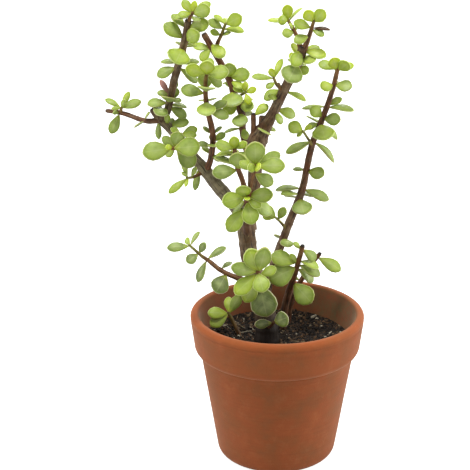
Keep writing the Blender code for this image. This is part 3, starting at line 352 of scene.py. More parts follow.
GROUND_SHOOT = Shoot("ground_shoot", (
    Twig(((-28, 6, 72, 1.5), (-28, 6, 91, 1.6), (-33, 8, 103, 1.4), (-37, 8, 111, 1.2)),
         (Leaf(3, (-16, -3, 2), 0.7, 0.6), Leaf(2.9, (-14, -7, -6), 0.7, 0.62),
          Leaf(2.8, (-11, 4, -2), 0.4), Leaf(3, (9, 2, 15), 1, 0.5), Leaf(3, (0, 7, 11), 0.5))),
), Tone.GROWN, 0.3)

SHOOTS = (LEFT_LIMB, MIDDLE_LEFT_STEM, RIGHT_LIMB, BACK_BRANCH, FRONT_SHOOT, RIGHT_STEM,
          LOW_LEFT_TWIG, BASE_ROSETTE, FOOT_LEAVES, TALL_CUT_STEM, SHORT_CUT_STEM, GROUND_SHOOT)


def colour(code: str) -> tuple[float, float, float, float]:
    """Turn an sRGB hex colour to linear.

    Args:
        code: Six hex digits, red, green and blue.

    Returns:
        Linear red, green, blue, and full opacity.
    """
    parts = [int(code[i:i + 2], 16) / 255 for i in (0, 2, 4)]
    linear = [part / 12.92 if part <= 0.04045 else ((part + 0.055) / 1.055) ** 2.4
              for part in parts]
    return (*linear, 1.0)


def clamp(value: float) -> float:
    """Return the value, kept between 0 and 1."""
    return max(0.0, min(1.0, value))


def add_node(tree: Tree, kind: str, inputs: dict | None = None, stops: Iterable = (),
             **settings: object) -> Node:
    """Add a node to a tree with its settings, values and links.

    Args:
        tree: The shader or geometry tree.
        kind: The node's type name.
        inputs: Socket name or number to a value, a socket, or a node, whose first output it takes.
        stops: Place and hex colour of each stop, for a colour ramp.
        **settings: Properties of the node, set before its inputs.

    Returns:
        The new node.
    """
    node = tree.nodes.new(kind)
    for name, value in settings.items():
        setattr(node, name, value)
    for index, (place, code) in enumerate(stops):
        ramp = node.color_ramp.elements
        stop = ramp[index] if index < len(ramp) else ramp.new(place)
        stop.position = place
        stop.color = colour(code)
    for key, value in (inputs or {}).items():
        socket = node.inputs[key] if isinstance(key, int) else next(
            each for each in node.inputs if each.enabled and each.name == key)
        if isinstance(value, Node):
            value = next(each for each in value.outputs if each.enabled)
        if isinstance(value, Socket):
            tree.links.new(value, socket)
        else:
            socket.default_value = value
    return node


class GrowthRule:
    """A Geometry Nodes tree with named inputs, baked into one plain mesh per piece."""

    SHARP_ANGLE = 48.0

    def __init__(self, name: str, **sizes: Iterable[str]) -> None:
        """Start a tree.

        Args:
            name: The tree's name.
            **sizes: Names of its inputs, by the kind of socket: Float, Int or Vector.
        """
        self.tree = bpy.data.node_groups.new(name, "GeometryNodeTree")
        self.add = partial(add_node, self.tree)
        face = self.tree.interface
        face.new_socket("Geometry", in_out="INPUT", socket_type="NodeSocketGeometry")
        for kind, labels in sizes.items():
            for label in labels:
                face.new_socket(label, in_out="INPUT", socket_type="NodeSocket" + kind)
        face.new_socket("Finish", in_out="INPUT", socket_type="NodeSocketMaterial")
        face.new_socket("Geometry", in_out="OUTPUT", socket_type="NodeSocketGeometry")
        self.given = self.add("NodeGroupInput")

    def size(self, label: str) -> Socket:
        """Return the tree's own input of that name."""
        return self.given.outputs[label]

    def end(self, geometry: Node) -> None:
        """Close the tree: instances made real, smooth faces, one material.

        Args:
            geometry: The node that gives the whole shape.
        """
        real = self.add("GeometryNodeRealizeInstances", {"Geometry": geometry})
        smooth = self.add("GeometryNodeSetShadeSmooth", {"Geometry": real})
        dressed = self.add("GeometryNodeSetMaterial",
                           {"Geometry": smooth, "Material": self.size("Finish")})
        self.add("NodeGroupOutput", {0: dressed})

    def bake(self, name: str, start: bpy.types.Mesh, sizes: dict, spare: Iterable[str] = (),
             sharp: bool = True) -> bpy.types.Object:
        """Run the tree on a mesh and keep the result as a plain mesh.

        Args:
            name: The piece's name.
            start: The mesh that the tree starts from.
            sizes: Value of each named input.
            spare: Attributes that only the tree needed.
            sharp: Whether edges past SHARP_ANGLE stay crisp.

        Returns:
            The piece, at the origin, with no modifier.
        """
        piece = bpy.data.objects.new(name, start)
        bpy.context.scene.collection.objects.link(piece)
        modifier = piece.modifiers.new("Growth", "NODES")
        modifier.node_group = self.tree
        for item in self.tree.interface.items_tree:
            if item.item_type == "SOCKET" and item.in_out == "INPUT" and item.name in sizes:
                modifier[item.identifier] = sizes[item.name]
        graph = bpy.context.evaluated_depsgraph_get()
        baked = bpy.data.meshes.new_from_object(
            piece.evaluated_get(graph), preserve_all_data_layers=True, depsgraph=graph)
        piece.modifiers.clear()
        piece.data = baked
        baked.name = name
        for label in spare:
            if label in baked.attributes:
                baked.attributes.remove(baked.attributes[label])
        if sharp:
            baked.set_sharp_from_angle(angle=math.radians(self.SHARP_ANGLE))
        return piece


def hand_over(piece: bpy.types.Object, node: str, slot: str) -> bpy.types.Object:
    """Say what a finished piece rides on and what it replaces.

    Args:
        piece: The finished piece.
        node: The plain part that it stands for.
        slot: The material's slot; not used.

    Returns:
        The same piece.
    """
    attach(piece, "root")
    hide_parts(node)
    return piece


def give(mesh: bpy.types.Mesh, label: str, values: list, kind: str = "FLOAT",
         domain: str = "POINT") -> None:
    """Store a named attribute in a mesh.

    Args:
        mesh: The mesh.
        label: The attribute's name.
        values: One value for each point or face.
        kind: Its type.
        domain: Whether it is told for points or for faces.
    """
    attribute = mesh.attributes.new(label, kind, domain)
    for item, value in zip(attribute.data, values):
        if kind == "FLOAT_VECTOR":
            item.vector = value
        else:
            item.value = value


@dataclass(frozen=True)
class Finish:
    """What every finish shares: a named material, coats of colour, and one shader."""

    name: str
    slot: str
    roughness: float
    ior: float

    def new_material(self) -> tuple[bpy.types.Material, Adder]:
        """Return an empty material of this name, and the function that adds a node to it.

        Returns:
            The material and the function.
        """
        material = bpy.data.materials.new(self.name)
        material.use_nodes = True
        return material, partial(add_node, material.node_tree)

    def coats(self, add: Adder, base: Node, layers: Iterable[tuple]) -> Node:
        """Lay coats of colour over each other.

        Args:
            add: Adds a node to the material.
            base: The lowest colour.
            layers: How much of each coat shows, and its colour as hex digits or a node.

        Returns:
            The colour that shows in the end.
        """
        for part, over in layers:
            over = colour(over) if isinstance(over, str) else over
            base = add("ShaderNodeMix", {"Factor": part, "A": base, "B": over}, data_type="RGBA")
        return base

    def shader(self, material: bpy.types.Material, base: Node, rough: Node | None,
               bump: Node | None) -> Node:
        """Link the colour, the roughness and the bump to the surface shader.

        Args:
            material: The material.
            base: Its colour.
            rough: Its roughness, or None where it is the same all over.
            bump: Its relief, or None where it has none.

        Returns:
            The shader.
        """
        tree = material.node_tree
        surface = tree.nodes["Principled BSDF"]
        tree.links.new(next(each for each in base.outputs if each.enabled),
                       surface.inputs["Base Color"])
        surface.inputs["Roughness"].default_value = self.roughness
        surface.inputs["IOR"].default_value = self.ior
        if rough:
            tree.links.new(rough.outputs[0], surface.inputs["Roughness"])
        if bump:
            tree.links.new(bump.outputs[0], surface.inputs["Normal"])
        return surface


@dataclass(frozen=True)
class FiredTerracotta(Finish):
    """Low-fired red earthenware, turned in a mould: matt and dry, with a mottled orange skin,
    a paler bloom of lime salts, fine grog specks, worn edges, and a stained inner wall."""

    name: str = "fired_terracotta"
    slot: str = "terracotta"
    roughness: float = 0.86
    roughness_spread: float = 0.12
    ior: float = 1.4
    dust: float = 0.34
    # How much the worn coat shows: rubbed clay, with a painted highlight along the lip's edges.
    wear: float = 0.28
    damp: float = 0.35
    mottle_mm: float = 17.0
    bloom_mm: float = 9.0
    grog_mm: float = 0.9
    turning_mm: float = 1.6
    turning_long: float = 0.04

    def make(self) -> bpy.types.Material:
        """Make the clay's material.

        Returns:
            The material.
        """
        material, add = self.new_material()
        place = add("ShaderNodeTexCoord").outputs["Object"]
        mottle, bloom, grog = (
            add("ShaderNodeTexNoise", {
                "Vector": place, "Scale": 1 / (size * MM), "Detail": detail, "Roughness": rough})
            for size, detail, rough in ((self.mottle_mm, 4.0, 0.6), (self.bloom_mm, 8.0, 0.72),
                                        (self.grog_mm, 2.0, 0.5)))
        skin = add("ShaderNodeValToRGB", {"Fac": mottle}, stops=(
            (0.3, "7f4823"), (0.44, "86471f"), (0.58, "8c461e"), (0.72, "944c22")))
        drawn = add("ShaderNodeMapping", {
            "Vector": place, "Scale": (self.turning_long / MM, self.turning_long / MM, 1 / MM)})
        turning = add("ShaderNodeTexNoise", {
            "Vector": drawn, "Scale": 1 / self.turning_mm, "Detail": 2.0})
        bloom_part, streak_part, grog_part = (
            add("ShaderNodeMapRange", {
                "Value": pattern, "From Min": start, "From Max": full, "To Max": most})
            for pattern, start, full, most in ((bloom, 0.5, 0.8, 0.24), (turning, 0.5, 0.7, 0.16),
                                               (grog, 0.62, 0.74, 0.35)))
        worn, inside = (add("ShaderNodeAttribute", attribute_name=label).outputs["Fac"]
                        for label in ("worn", "inside"))
        # The worn coat lightens the lip, the collar and the inner lip: partly rubbed clay, partly
        # a painted highlight along the lip.
        wear_and_highlight_part = add("ShaderNodeMath", {0: worn, 1: self.wear}, operation="MULTIPLY")
        damp_part = add("ShaderNodeMath", {0: inside, 1: self.damp}, operation="MULTIPLY")
        base = self.coats(add, skin, (
            (bloom_part, "a87350"), (streak_part, "6b3315"), (grog_part, "5f3119"),
            (wear_and_highlight_part, "a8551f"), (self.inner_stain(add, place, bloom, inside), "65603a"),
            (damp_part, "55291b")))
        rough = add("ShaderNodeMapRange", {
            "Value": bloom, "To Min": self.roughness - self.roughness_spread,
            "To Max": self.roughness + self.roughness_spread})
        surface = self.shader(material, base, rough, self.relief(add, turning, grog, bloom))
        surface.inputs["Sheen Weight"].default_value = self.dust
        surface.inputs["Sheen Roughness"].default_value = 0.4
        surface.inputs["Sheen Tint"].default_value = colour("e8c4a4")
        return material

    def inner_stain(self, add: Adder, place: Socket, bloom: Node, inside: Socket) -> Node:
        """Tell how much green-grey growth and lime there is: inside, most at the right.

        Args:
            add: Adds a node to the material.
            place: The place on the pot.
            bloom: The noise that makes patches.
            inside: 1 on the inner wall and 0 outside.

        Returns:
            The stain's share, from 0 to 1.
        """
        across = add("ShaderNodeSeparateXYZ", {0: place}).outputs["X"]
        right = add("ShaderNodeMapRange", {
            "Value": across, "From Min": 20 * MM, "From Max": 88 * MM, "To Min": 0.5,
            "To Max": 1.3})
        patches = add("ShaderNodeMapRange", {
            "Value": bloom, "From Min": 0.35, "From Max": 0.62, "To Min": 0.1, "To Max": 0.75})
        there = add("ShaderNodeMath", {0: right, 1: patches}, operation="MULTIPLY")
        return add("ShaderNodeMath", {0: there, 1: inside}, operation="MULTIPLY", use_clamp=True)

    def relief(self, add: Adder, turning: Node, grog: Node, bloom: Node) -> Node:
        """Raise turning lines round the wall, grog and a dry skin, each over the one before.

        Args:
            add: Adds a node to the material.
            turning: The noise of the turning lines.
            grog: The noise of the grog.
            bloom: The noise of the dry skin.

        Returns:
            The last bump.
        """
        lines = add("ShaderNodeBump", {"Strength": 0.25, "Distance": 0.25 * MM, "Height": turning})
        pores = add("ShaderNodeBump", {
            "Strength": 0.35, "Distance": 0.2 * MM, "Height": grog, "Normal": lines})
        return add("ShaderNodeBump", {
            "Strength": 0.3, "Distance": 0.35 * MM, "Height": bloom, "Normal": pores})


@dataclass(frozen=True)
class PottingMix(Finish):
    """Peat and composted bark, damp: nearly black with brown crumbs and a few pale bits."""

    name: str = "potting_mix"
    slot: str = "soil"
    roughness: float = 0.92
    ior: float = 1.45
    crumb_mm: float = 2.2
    crumb_colour: float = 0.75
    least_shade: float = 0.001
    grain_mm: float = 0.7

    def make(self) -> bpy.types.Material:
        """Make the soil's material: the crumb attribute picks each crumb's own colour.

        Returns:
            The material.
        """
        material, add = self.new_material()
        place = add("ShaderNodeTexCoord").outputs["Object"]
        grain = add("ShaderNodeTexNoise", {
            "Vector": place, "Scale": 1 / (self.grain_mm * MM), "Detail": 4.0, "Roughness": 0.7})
        peat = add("ShaderNodeValToRGB", {"Fac": grain}, stops=(
            (0.3, "120d08"), (0.55, "251a10"), (0.75, "403020")))
        crumb = add("ShaderNodeAttribute", attribute_name="crumb").outputs["Fac"]
        chips = add("ShaderNodeValToRGB", {"Fac": crumb}, stops=(
            (0.0, "17100b"), (0.5, "2f2216"), (0.7, "523b26"), (0.86, "6c5136"),
            (0.95, "8e7a5c"), (0.985, "c4baa2")))
        chips.color_ramp.interpolation = "CONSTANT"
        picked = add("ShaderNodeMath", {0: crumb, 1: self.least_shade},
                     operation="GREATER_THAN")
        part = add("ShaderNodeMath", {0: picked, 1: self.crumb_colour}, operation="MULTIPLY")
        lumps = add("ShaderNodeTexNoise", {
            "Vector": place, "Scale": 1 / (self.crumb_mm * MM), "Detail": 6.0, "Roughness": 0.75})
        bump = add("ShaderNodeBump", {"Strength": 0.8, "Distance": 1.0 * MM, "Height": lumps})
        self.shader(material, self.coats(add, peat, ((part, chips),)), None, bump)
        return material


@dataclass(frozen=True)
class Bark(Finish):
    """Bark of elephant bush: green on the newest twigs, smooth red-brown on young stems, and
    grey-brown with fine lengthwise cracks on old wood. Cut ends have dried nearly black."""

    name: str = "bark"
    slot: str = "bark"
    roughness: float = 0.62
    ior: float = 1.38
    crack_mm: float = 1.1
    crack_long: float = 0.11
    patch_mm: float = 7.0
    ring_shade: float = 0.4

    def make(self) -> bpy.types.Material:
        """Make the bark's material: it follows the stem by the grain attribute.

        Returns:
            The material.
        """
        material, add = self.new_material()
        grain = add("ShaderNodeAttribute", attribute_name="grain").outputs["Vector"]
        age, ring, dead, damp = (add("ShaderNodeAttribute", attribute_name=label).outputs["Fac"]
                                 for label in ("age", "ring", "dead", "damp"))
        place = add("ShaderNodeTexCoord").outputs["Object"]
        skin = add("ShaderNodeValToRGB", {"Fac": age}, stops=(
            (0.0, "8d9440"), (0.14, "80562a"), (0.3, "6c3b1e"), (0.55, "62402a"),
            (0.85, "64482e"), (1.0, "746a53")))
        patches = add("ShaderNodeTexNoise", {
            "Vector": place, "Scale": 1 / (self.patch_mm * MM), "Detail": 5.0, "Roughness": 0.65})
        drawn = add("ShaderNodeMapping", {"Vector": grain, "Scale": (1.0, 1.0, self.crack_long)})
        cracks = add("ShaderNodeTexNoise", {
            "Vector": drawn, "Scale": 1 / (self.crack_mm * MM), "Detail": 4.0, "Roughness": 0.62})
        patch_part, crack_part, ridge_part = (
            add("ShaderNodeMapRange", {
                "Value": pattern, "From Min": start, "From Max": full, "To Max": most})
            for pattern, start, full, most in (
                (patches, 0.4, 0.62, 0.6), (cracks, 0.49, 0.36, 0.85), (cracks, 0.56, 0.72, 0.45)))
        lichen = add("ShaderNodeMath", {0: patch_part, 1: age}, operation="MULTIPLY")
        ring_part = add("ShaderNodeMath", {0: ring, 1: self.ring_shade}, operation="MULTIPLY")
        # The damp coat darkens the stems near the soil: partly damp bark, partly painted shade
        # where the trunk's foot sits in shadow.
        base = self.coats(add, skin, (
            (lichen, "968a6c"), (crack_part, "21160f"), (ridge_part, "a08a68"),
            (ring_part, "42301f"), (dead, "1d1511"), (damp, "130c08")))
        bump = add("ShaderNodeBump", {"Strength": 0.7, "Distance": 0.45 * MM, "Height": cracks})
        knots = add("ShaderNodeBump", {
            "Strength": 0.4, "Distance": 0.5 * MM, "Height": patches, "Normal": bump})
        self.shader(material, base, None, knots)
        return material


@dataclass(frozen=True)
class SucculentLeaf(Finish):
    """Fleshy leaf of elephant bush: satin skin over juicy flesh, lime when new and dusty green
    when old, with a paler rim and underside, a yellow root, and veins that hardly show."""

    name: str = "succulent_leaf"
    slot: str = "leaf"
    roughness: float = 0.4
    roughness_spread: float = 0.1
    ior: float = 1.42
    cloud_mm: float = 6.0
    cloud_shade: float = 0.15
    vein_count: float = 6.0
    vein_sweep: float = 0.35
    vein_part: float = 0.24
    flesh_mm: float = 2.0
    # The real skin's grain is a tenth of this, and too fine to show.
    skin_mm: float = 0.8

    def make(self) -> bpy.types.Material:
        """Make the leaf's material: it follows each blade by the blade attribute.

        Returns:
            The material.
        """
        material, add = self.new_material()
        place = add("ShaderNodeTexCoord").outputs["Object"]
        blade = add("ShaderNodeAttribute", attribute_name="blade").outputs["Vector"]
        parts = add("ShaderNodeSeparateXYZ", {0: blade})
        share, side, upper = parts.outputs["X"], parts.outputs["Y"], parts.outputs["Z"]
        tone, rim, skin = (add("ShaderNodeAttribute", attribute_name=label).outputs["Fac"]
                           for label in ("tone", "rim", "skin"))
        clouds = add("ShaderNodeTexNoise", {
            "Vector": place, "Scale": 1 / (self.cloud_mm * MM), "Detail": 4.0})
        cloud_part = add("ShaderNodeMapRange", {
            "Value": clouds, "From Min": 0.25, "From Max": 0.75, "To Min": -self.cloud_shade,
            "To Max": self.cloud_shade})
        shifted = add("ShaderNodeMath", {0: tone, 1: cloud_part}, operation="ADD")
        green = add("ShaderNodeValToRGB", {"Fac": shifted}, stops=(
            (0.0, "505b2e"), (0.25, "72843f"), (0.5, "8ea443"), (0.75, "a0b62f"),
            (1.0, "bccc14")))
        under, root, rim_and_highlight_part, unlike = (
            add("ShaderNodeMapRange", {
                "Value": value, "From Min": start, "From Max": full, "To Max": most})
            for value, start, full, most in (
                (upper, 0.1, -0.4, 0.45), (share, 0.3, 0.02, 0.8), (rim, 0.9, 0.97, 0.8),
                (skin, 0.1, 0.4, 1.0)))
        veins = self.veins(add, share, side)
        vein_part = add("ShaderNodeMath", {0: veins, 1: self.vein_part}, operation="MULTIPLY")
        # Painted shade: a darker green band just inside the rim, where the rounded edge turns away
        # from the light.
        painted_edge_shade = add("ShaderNodeMapRange", {
            "Value": rim, "From Min": 0.7, "From Max": 0.88, "To Max": 0.42},
            interpolation_type="SMOOTHSTEP")
        # The pale rim is partly the leaf's own paler margin and partly a painted highlight where
        # the rounded edge catches the light.
        rim_and_highlight_colour = add("ShaderNodeValToRGB", {"Fac": tone}, stops=(
            (0.0, "b3a785"), (0.3, "bcc191"), (0.5, "b0ae68"), (0.75, "c3d27a"),
            (1.0, "d2e25f")))
        other = add("ShaderNodeValToRGB", {"Fac": skin}, stops=(
            (0.0, "b07f76"), (0.55, "b07f76"), (0.9, "5a3d22")))
        base = self.coats(add, green, (
            (under, "9aa878"), (root, "bcc32e"), (vein_part, "c5d18c"),
            (self.bloom(add, rim, upper, clouds), "c6cd94"), (painted_edge_shade, "6a7d22"),
            (rim_and_highlight_part, rim_and_highlight_colour), (unlike, other)))
        fine = add("ShaderNodeTexNoise", {
            "Vector": place, "Scale": 1 / (self.skin_mm * MM), "Detail": 3.0})
        rough = add("ShaderNodeMapRange", {
            "Value": clouds, "To Min": self.roughness - self.roughness_spread,
            "To Max": self.roughness + self.roughness_spread})
        pores = add("ShaderNodeBump", {"Strength": 0.12, "Distance": 0.15 * MM, "Height": fine})
        ribs = add("ShaderNodeBump", {
            "Strength": 0.35, "Distance": 0.2 * MM, "Height": veins, "Normal": pores}, invert=True)
        surface = self.shader(material, base, rough, ribs)
        surface.inputs["Subsurface Weight"].default_value = 0.2
        surface.inputs["Subsurface Radius"].default_value = (0.7, 1.0, 0.25)
        surface.inputs["Subsurface Scale"].default_value = self.flesh_mm * MM
        return material

    def bloom(self, add: Adder, rim: Socket, upper: Socket, clouds: Node) -> Node:
        """Tell how much pale waxy bloom there is: on the upper face, most in its middle.

        Args:
            add: Adds a node to the material.
            rim: 0 in the middle of the face and 1 at its edge.
            upper: Above 0 on the upper face.
            clouds: The noise that makes it patchy.

        Returns:
            The bloom's share.
        """
        centre = add("ShaderNodeMapRange", {
            "Value": rim, "From Min": 0.9, "From Max": 0.1, "To Max": 0.44})
        patchy = add("ShaderNodeMapRange", {
            "Value": clouds, "From Min": 0.3, "From Max": 0.65, "To Min": 0.25})
        on_top = add("ShaderNodeMapRange", {"Value": upper, "From Min": -0.2, "From Max": 0.4})
        both = add("ShaderNodeMath", {0: centre, 1: patchy}, operation="MULTIPLY")
        return add("ShaderNodeMath", {0: both, 1: on_top}, operation="MULTIPLY")

    def veins(self, add: Adder, share: Socket, side: Socket) -> Node:
        """Draw the veins: a middle rib, and side veins that sweep to the tip.

        Args:
            add: Adds a node to the material.
            share: From 0 at the root to 1 at the tip.
            side: Across the blade, from -1 to 1.

        Returns:
            1 on a vein and 0 between.
        """
        off = add("ShaderNodeMath", {0: side}, operation="ABSOLUTE")
        middle = add("ShaderNodeMapRange", {"Value": off, "From Min": 0.07, "From Max": 0.0})
        swept = add("ShaderNodeMath", {0: off, 1: -self.vein_sweep, 2: share},
                    operation="MULTIPLY_ADD")
        lines = add("ShaderNodeMath", {0: swept, 1: 0.5 / self.vein_count}, operation="PINGPONG")
        thin = add("ShaderNodeMapRange", {
            "Value": lines, "From Min": 0.012, "From Max": 0.0, "To Max": 0.6})
        return add("ShaderNodeMath", {0: middle, 1: thin}, operation="MAXIMUM")


@dataclass(frozen=True)
class StudioFloor(Finish):
    """White paper roll: flat, pale and dull, so that the pot stands on nothing but light."""

    name: str = "white_paper"
    slot: str = ""
    roughness: float = 0.95
    ior: float = 1.45
    # Real fibres are finer. Neither can be seen from where the photograph was taken.
    pulp_mm: float = 2.5

    def make(self) -> bpy.types.Material:
        """Make the floor's material, with a grain too fine to see.

        Returns:
            The material.
        """
        material, add = self.new_material()
        place = add("ShaderNodeTexCoord").outputs["Object"]
        pulp = add("ShaderNodeTexNoise", {"Vector": place, "Scale": 1 / (self.pulp_mm * MM)})
        base = add("ShaderNodeValToRGB", {"Fac": pulp}, stops=((0.0, "cfcfcd"), (1.0, "d6d6d4")))
        self.shader(material, base, None, None)
        return material


def arc(centre: tuple[float, float], radius: float, start: float, end: float,
        count: int) -> list[tuple[float, float]]:
    """Return points of an arc from one angle to another.

    Args:
        centre: Middle of the arc, as radius and height in millimetres.
        radius: The arc's own radius.
        start: First angle in degrees.
        end: Last angle in degrees.
        count: Number of steps between them.

    Returns:
        The points, both ends included.
    """
    angles = [math.radians(start + (end - start) * i / count) for i in range(count + 1)]
    return [(centre[0] + radius * math.cos(a), centre[1] + radius * math.sin(a)) for a in angles]


def row_place(x: float, y: float, z: float) -> Vector:
    """Return a place measured from the pot's axis in millimetres as metres in the model."""
    return Vector((x + POT_AXIS[0], y + POT_AXIS[1], z)) * MM


@dataclass
class TerracottaPot:
    """The turned pot: its outline is swept round the axis by a rule, as the plain pot's is.

    The groove and the neck are pairs: how far in from the rim or out from the shoulder, and how
    far under the lip or the collar.
    """

    rim_radius: float = 65.0
    height: float = 115.0
    collar_height: float = 31.0
    collar_foot_radius: float = 62.1
    collar_round: float = 6.0
    collar_wear: float = 0.3
    shoulder_radius: float = 57.2
    foot_radius: float = 41.3
    foot_round: float = 9.0
    foot_flare: float = 3.5
    lip_round: float = 3.2
    inner_lip_round: float = 2.0
    # How light the inner lip gets towards its top: partly rubbed clay, partly a painted highlight.
    inner_lip_wear_and_highlight: float = 0.9
    groove: tuple[tuple[float, float], ...] = ((0.1, 4.6), (0.5, 5.4), (0.3, 6.4))
    neck: tuple[tuple[float, float], ...] = ((0.5, 0.6), (0.0, 1.5))
    wall: float = 6.4
    thicker_foot: float = 4.0
    upper_wall: float = 110.0
    floor: float = 6.0
    floor_round: float = 8.0
    drain_radius: float = 10.0
    segments: int = 144
    step: float = 3.0
    seam: float = 0.01
    uneven: float = 0.25
    wave_mm: float = 34.0
    finish: FiredTerracotta = field(default_factory=FiredTerracotta)

    def inner_radius(self, height: float) -> float:
        """Return the inner wall's radius.

        Args:
            height: The height above the ground.

        Returns:
            The radius there.
        """
        share = (height - self.floor) / (self.height - self.floor)
        foot = self.foot_radius - self.wall + self.thicker_foot
        return foot + (self.rim_radius - self.wall - foot) * share

    def outline(self) -> list[tuple[float, float, float, float]]:
        """Draw half of the pot's section, down the outside and back up.

        Returns:
            Radius, height, wear and whether it is inside, for each corner.
        """
        collar_foot = self.height - self.collar_height
        lip = arc((self.rim_radius - self.lip_round, self.height - self.lip_round),
                  self.lip_round, 90, 0, 8)
        groove = [(self.rim_radius - inward, self.height - drop) for inward, drop in self.groove]
        collar = arc((self.collar_foot_radius - self.collar_round,
                      collar_foot + self.collar_round), self.collar_round, 0, -75, 8)
        neck = [(self.shoulder_radius + out, collar_foot - drop) for out, drop in self.neck]
        foot = arc((self.foot_radius - self.foot_round + self.foot_flare, self.foot_round),
                   self.foot_round, -8, -90, 10)
        floor = [(self.drain_radius, 0), (self.drain_radius, self.floor)]
        inner_foot = self.inner_radius(self.floor + self.floor_round)
        inside = arc((inner_foot - self.floor_round, self.floor + self.floor_round),
                     self.floor_round, -90, 0, 5)
        inner_lip = arc((self.rim_radius - self.wall + self.inner_lip_round,
                         self.height - self.inner_lip_round), self.inner_lip_round, 180, 90, 5)
        corners = []
        for points, wear, within in (
                (lip + groove[:1], 1.0, 0.0), (groove[1:], 0.0, 0.0),
                (collar, self.collar_wear, 0.0), (neck + foot + floor, 0.0, 0.0),
                (inside + [(self.inner_radius(self.upper_wall), self.upper_wall)], 0.0, 1.0)):
            corners += [(*point, wear, within) for point in points]
        last = len(inner_lip) - 1
        return corners + [(*point, self.inner_lip_wear_and_highlight * i / last, 1 - i / last)
                          for i, point in enumerate(inner_lip)]

    def outline_mesh(self) -> bpy.types.Mesh:
        """Cut the closed outline into short even steps.

        Returns:
            A mesh of its points, with wear and inside.
        """
        corners = self.outline()
        rows = []
        for start, end in zip(corners, corners[1:] + corners[:1]):
            pieces = max(1, round(math.dist(start[:2], end[:2]) / self.step))
            rows += [[a + (b - a) * i / pieces for a, b in zip(start, end)]
                     for i in range(pieces)]
        mesh = bpy.data.meshes.new("pot_outline")
        mesh.from_pydata([(radius * MM, 0, height * MM) for radius, height, _, _ in rows], [], [])
        give(mesh, "worn", [row[2] for row in rows])
        give(mesh, "inside", [row[3] for row in rows])
        return mesh

    def rule(self) -> GrowthRule:
        """Sweep the outline round the axis, close both seams, and push the wall a little.

        Returns:
            The tree.
        """
        rule = GrowthRule("turned_pot", Int=("Segments",), Vector=("Axis",), Float=("Uneven",))
        add, line = rule.add, rule.size("Geometry")
        rows = add("GeometryNodeAttributeDomainSize", {"Geometry": line},
                   component="MESH").outputs["Point Count"]
        rows_closed = add("ShaderNodeMath", {0: rows, 1: 1.0}, operation="ADD")
        turns_closed = add("ShaderNodeMath", {0: rule.size("Segments"), 1: 1.0}, operation="ADD")
        grid = add("GeometryNodeMeshGrid",
                   {"Vertices X": turns_closed, "Vertices Y": rows_closed})
        index = add("GeometryNodeInputIndex")
        place = add("ShaderNodeMath", {0: index, 1: rows_closed}, operation="MODULO")
        row = add("ShaderNodeMath", {0: place, 1: rows}, operation="MODULO")
        turn = add("ShaderNodeMath", {0: index, 1: rows_closed}, operation="DIVIDE")
        whole = add("ShaderNodeMath", {0: turn}, operation="FLOOR")
        share = add("ShaderNodeMath", {0: whole, 1: rule.size("Segments")}, operation="DIVIDE")
        angle = add("ShaderNodeMath", {0: share, 1: math.tau}, operation="MULTIPLY")
        at = add("GeometryNodeInputPosition")
        point = add("GeometryNodeSampleIndex", {"Geometry": line, "Value": at, "Index": row},
                    data_type="FLOAT_VECTOR")
        swept = add("ShaderNodeVectorRotate", {"Vector": point, "Angle": angle},
                    rotation_type="Z_AXIS")
        placed = add("ShaderNodeVectorMath", {0: swept, 1: rule.size("Axis")}, operation="ADD")
        body = add("GeometryNodeSetPosition", {"Geometry": grid, "Position": placed})
        for label in ("worn", "inside"):
            kept = add("GeometryNodeInputNamedAttribute", {"Name": label}, data_type="FLOAT")
            value = add("GeometryNodeSampleIndex", {"Geometry": line, "Value": kept, "Index": row},
                        data_type="FLOAT")
            body = add("GeometryNodeStoreNamedAttribute",
                       {"Geometry": body, "Name": label, "Value": value},
                       data_type="FLOAT", domain="POINT")
        closed = add("GeometryNodeMergeByDistance", {"Geometry": body, "Distance": self.seam * MM})
        waves = add("ShaderNodeTexNoise", {"Scale": 1 / (self.wave_mm * MM), "Detail": 1.0})
        centred = add("ShaderNodeMath", {0: waves, 1: 0.5}, operation="SUBTRACT")
        depth = add("ShaderNodeMath", {0: centred, 1: rule.size("Uneven")}, operation="MULTIPLY")
        inward = add("ShaderNodeMath", {0: depth, 1: -1.0}, operation="MULTIPLY")
        normal = add("GeometryNodeInputNormal")
        push = add("ShaderNodeVectorMath", {0: normal, "Scale": inward}, operation="SCALE")
        level = add("ShaderNodeVectorMath", {0: push, 1: (1.0, 1.0, 0.0)}, operation="MULTIPLY")
        rule.end(add("GeometryNodeSetPosition", {"Geometry": closed, "Offset": level}))
        return rule

    def build(self) -> bpy.types.Object:
        """Make the pot in place of the plain one.

        Returns:
            The pot.
        """
        pot = self.rule().bake("terracotta_pot", self.outline_mesh(), {
            "Segments": self.segments, "Axis": (POT_AXIS[0] * MM, POT_AXIS[1] * MM, 0.0),
            "Uneven": self.uneven * MM, "Finish": self.finish.make()})
        return hand_over(pot, "pot", self.finish.slot)


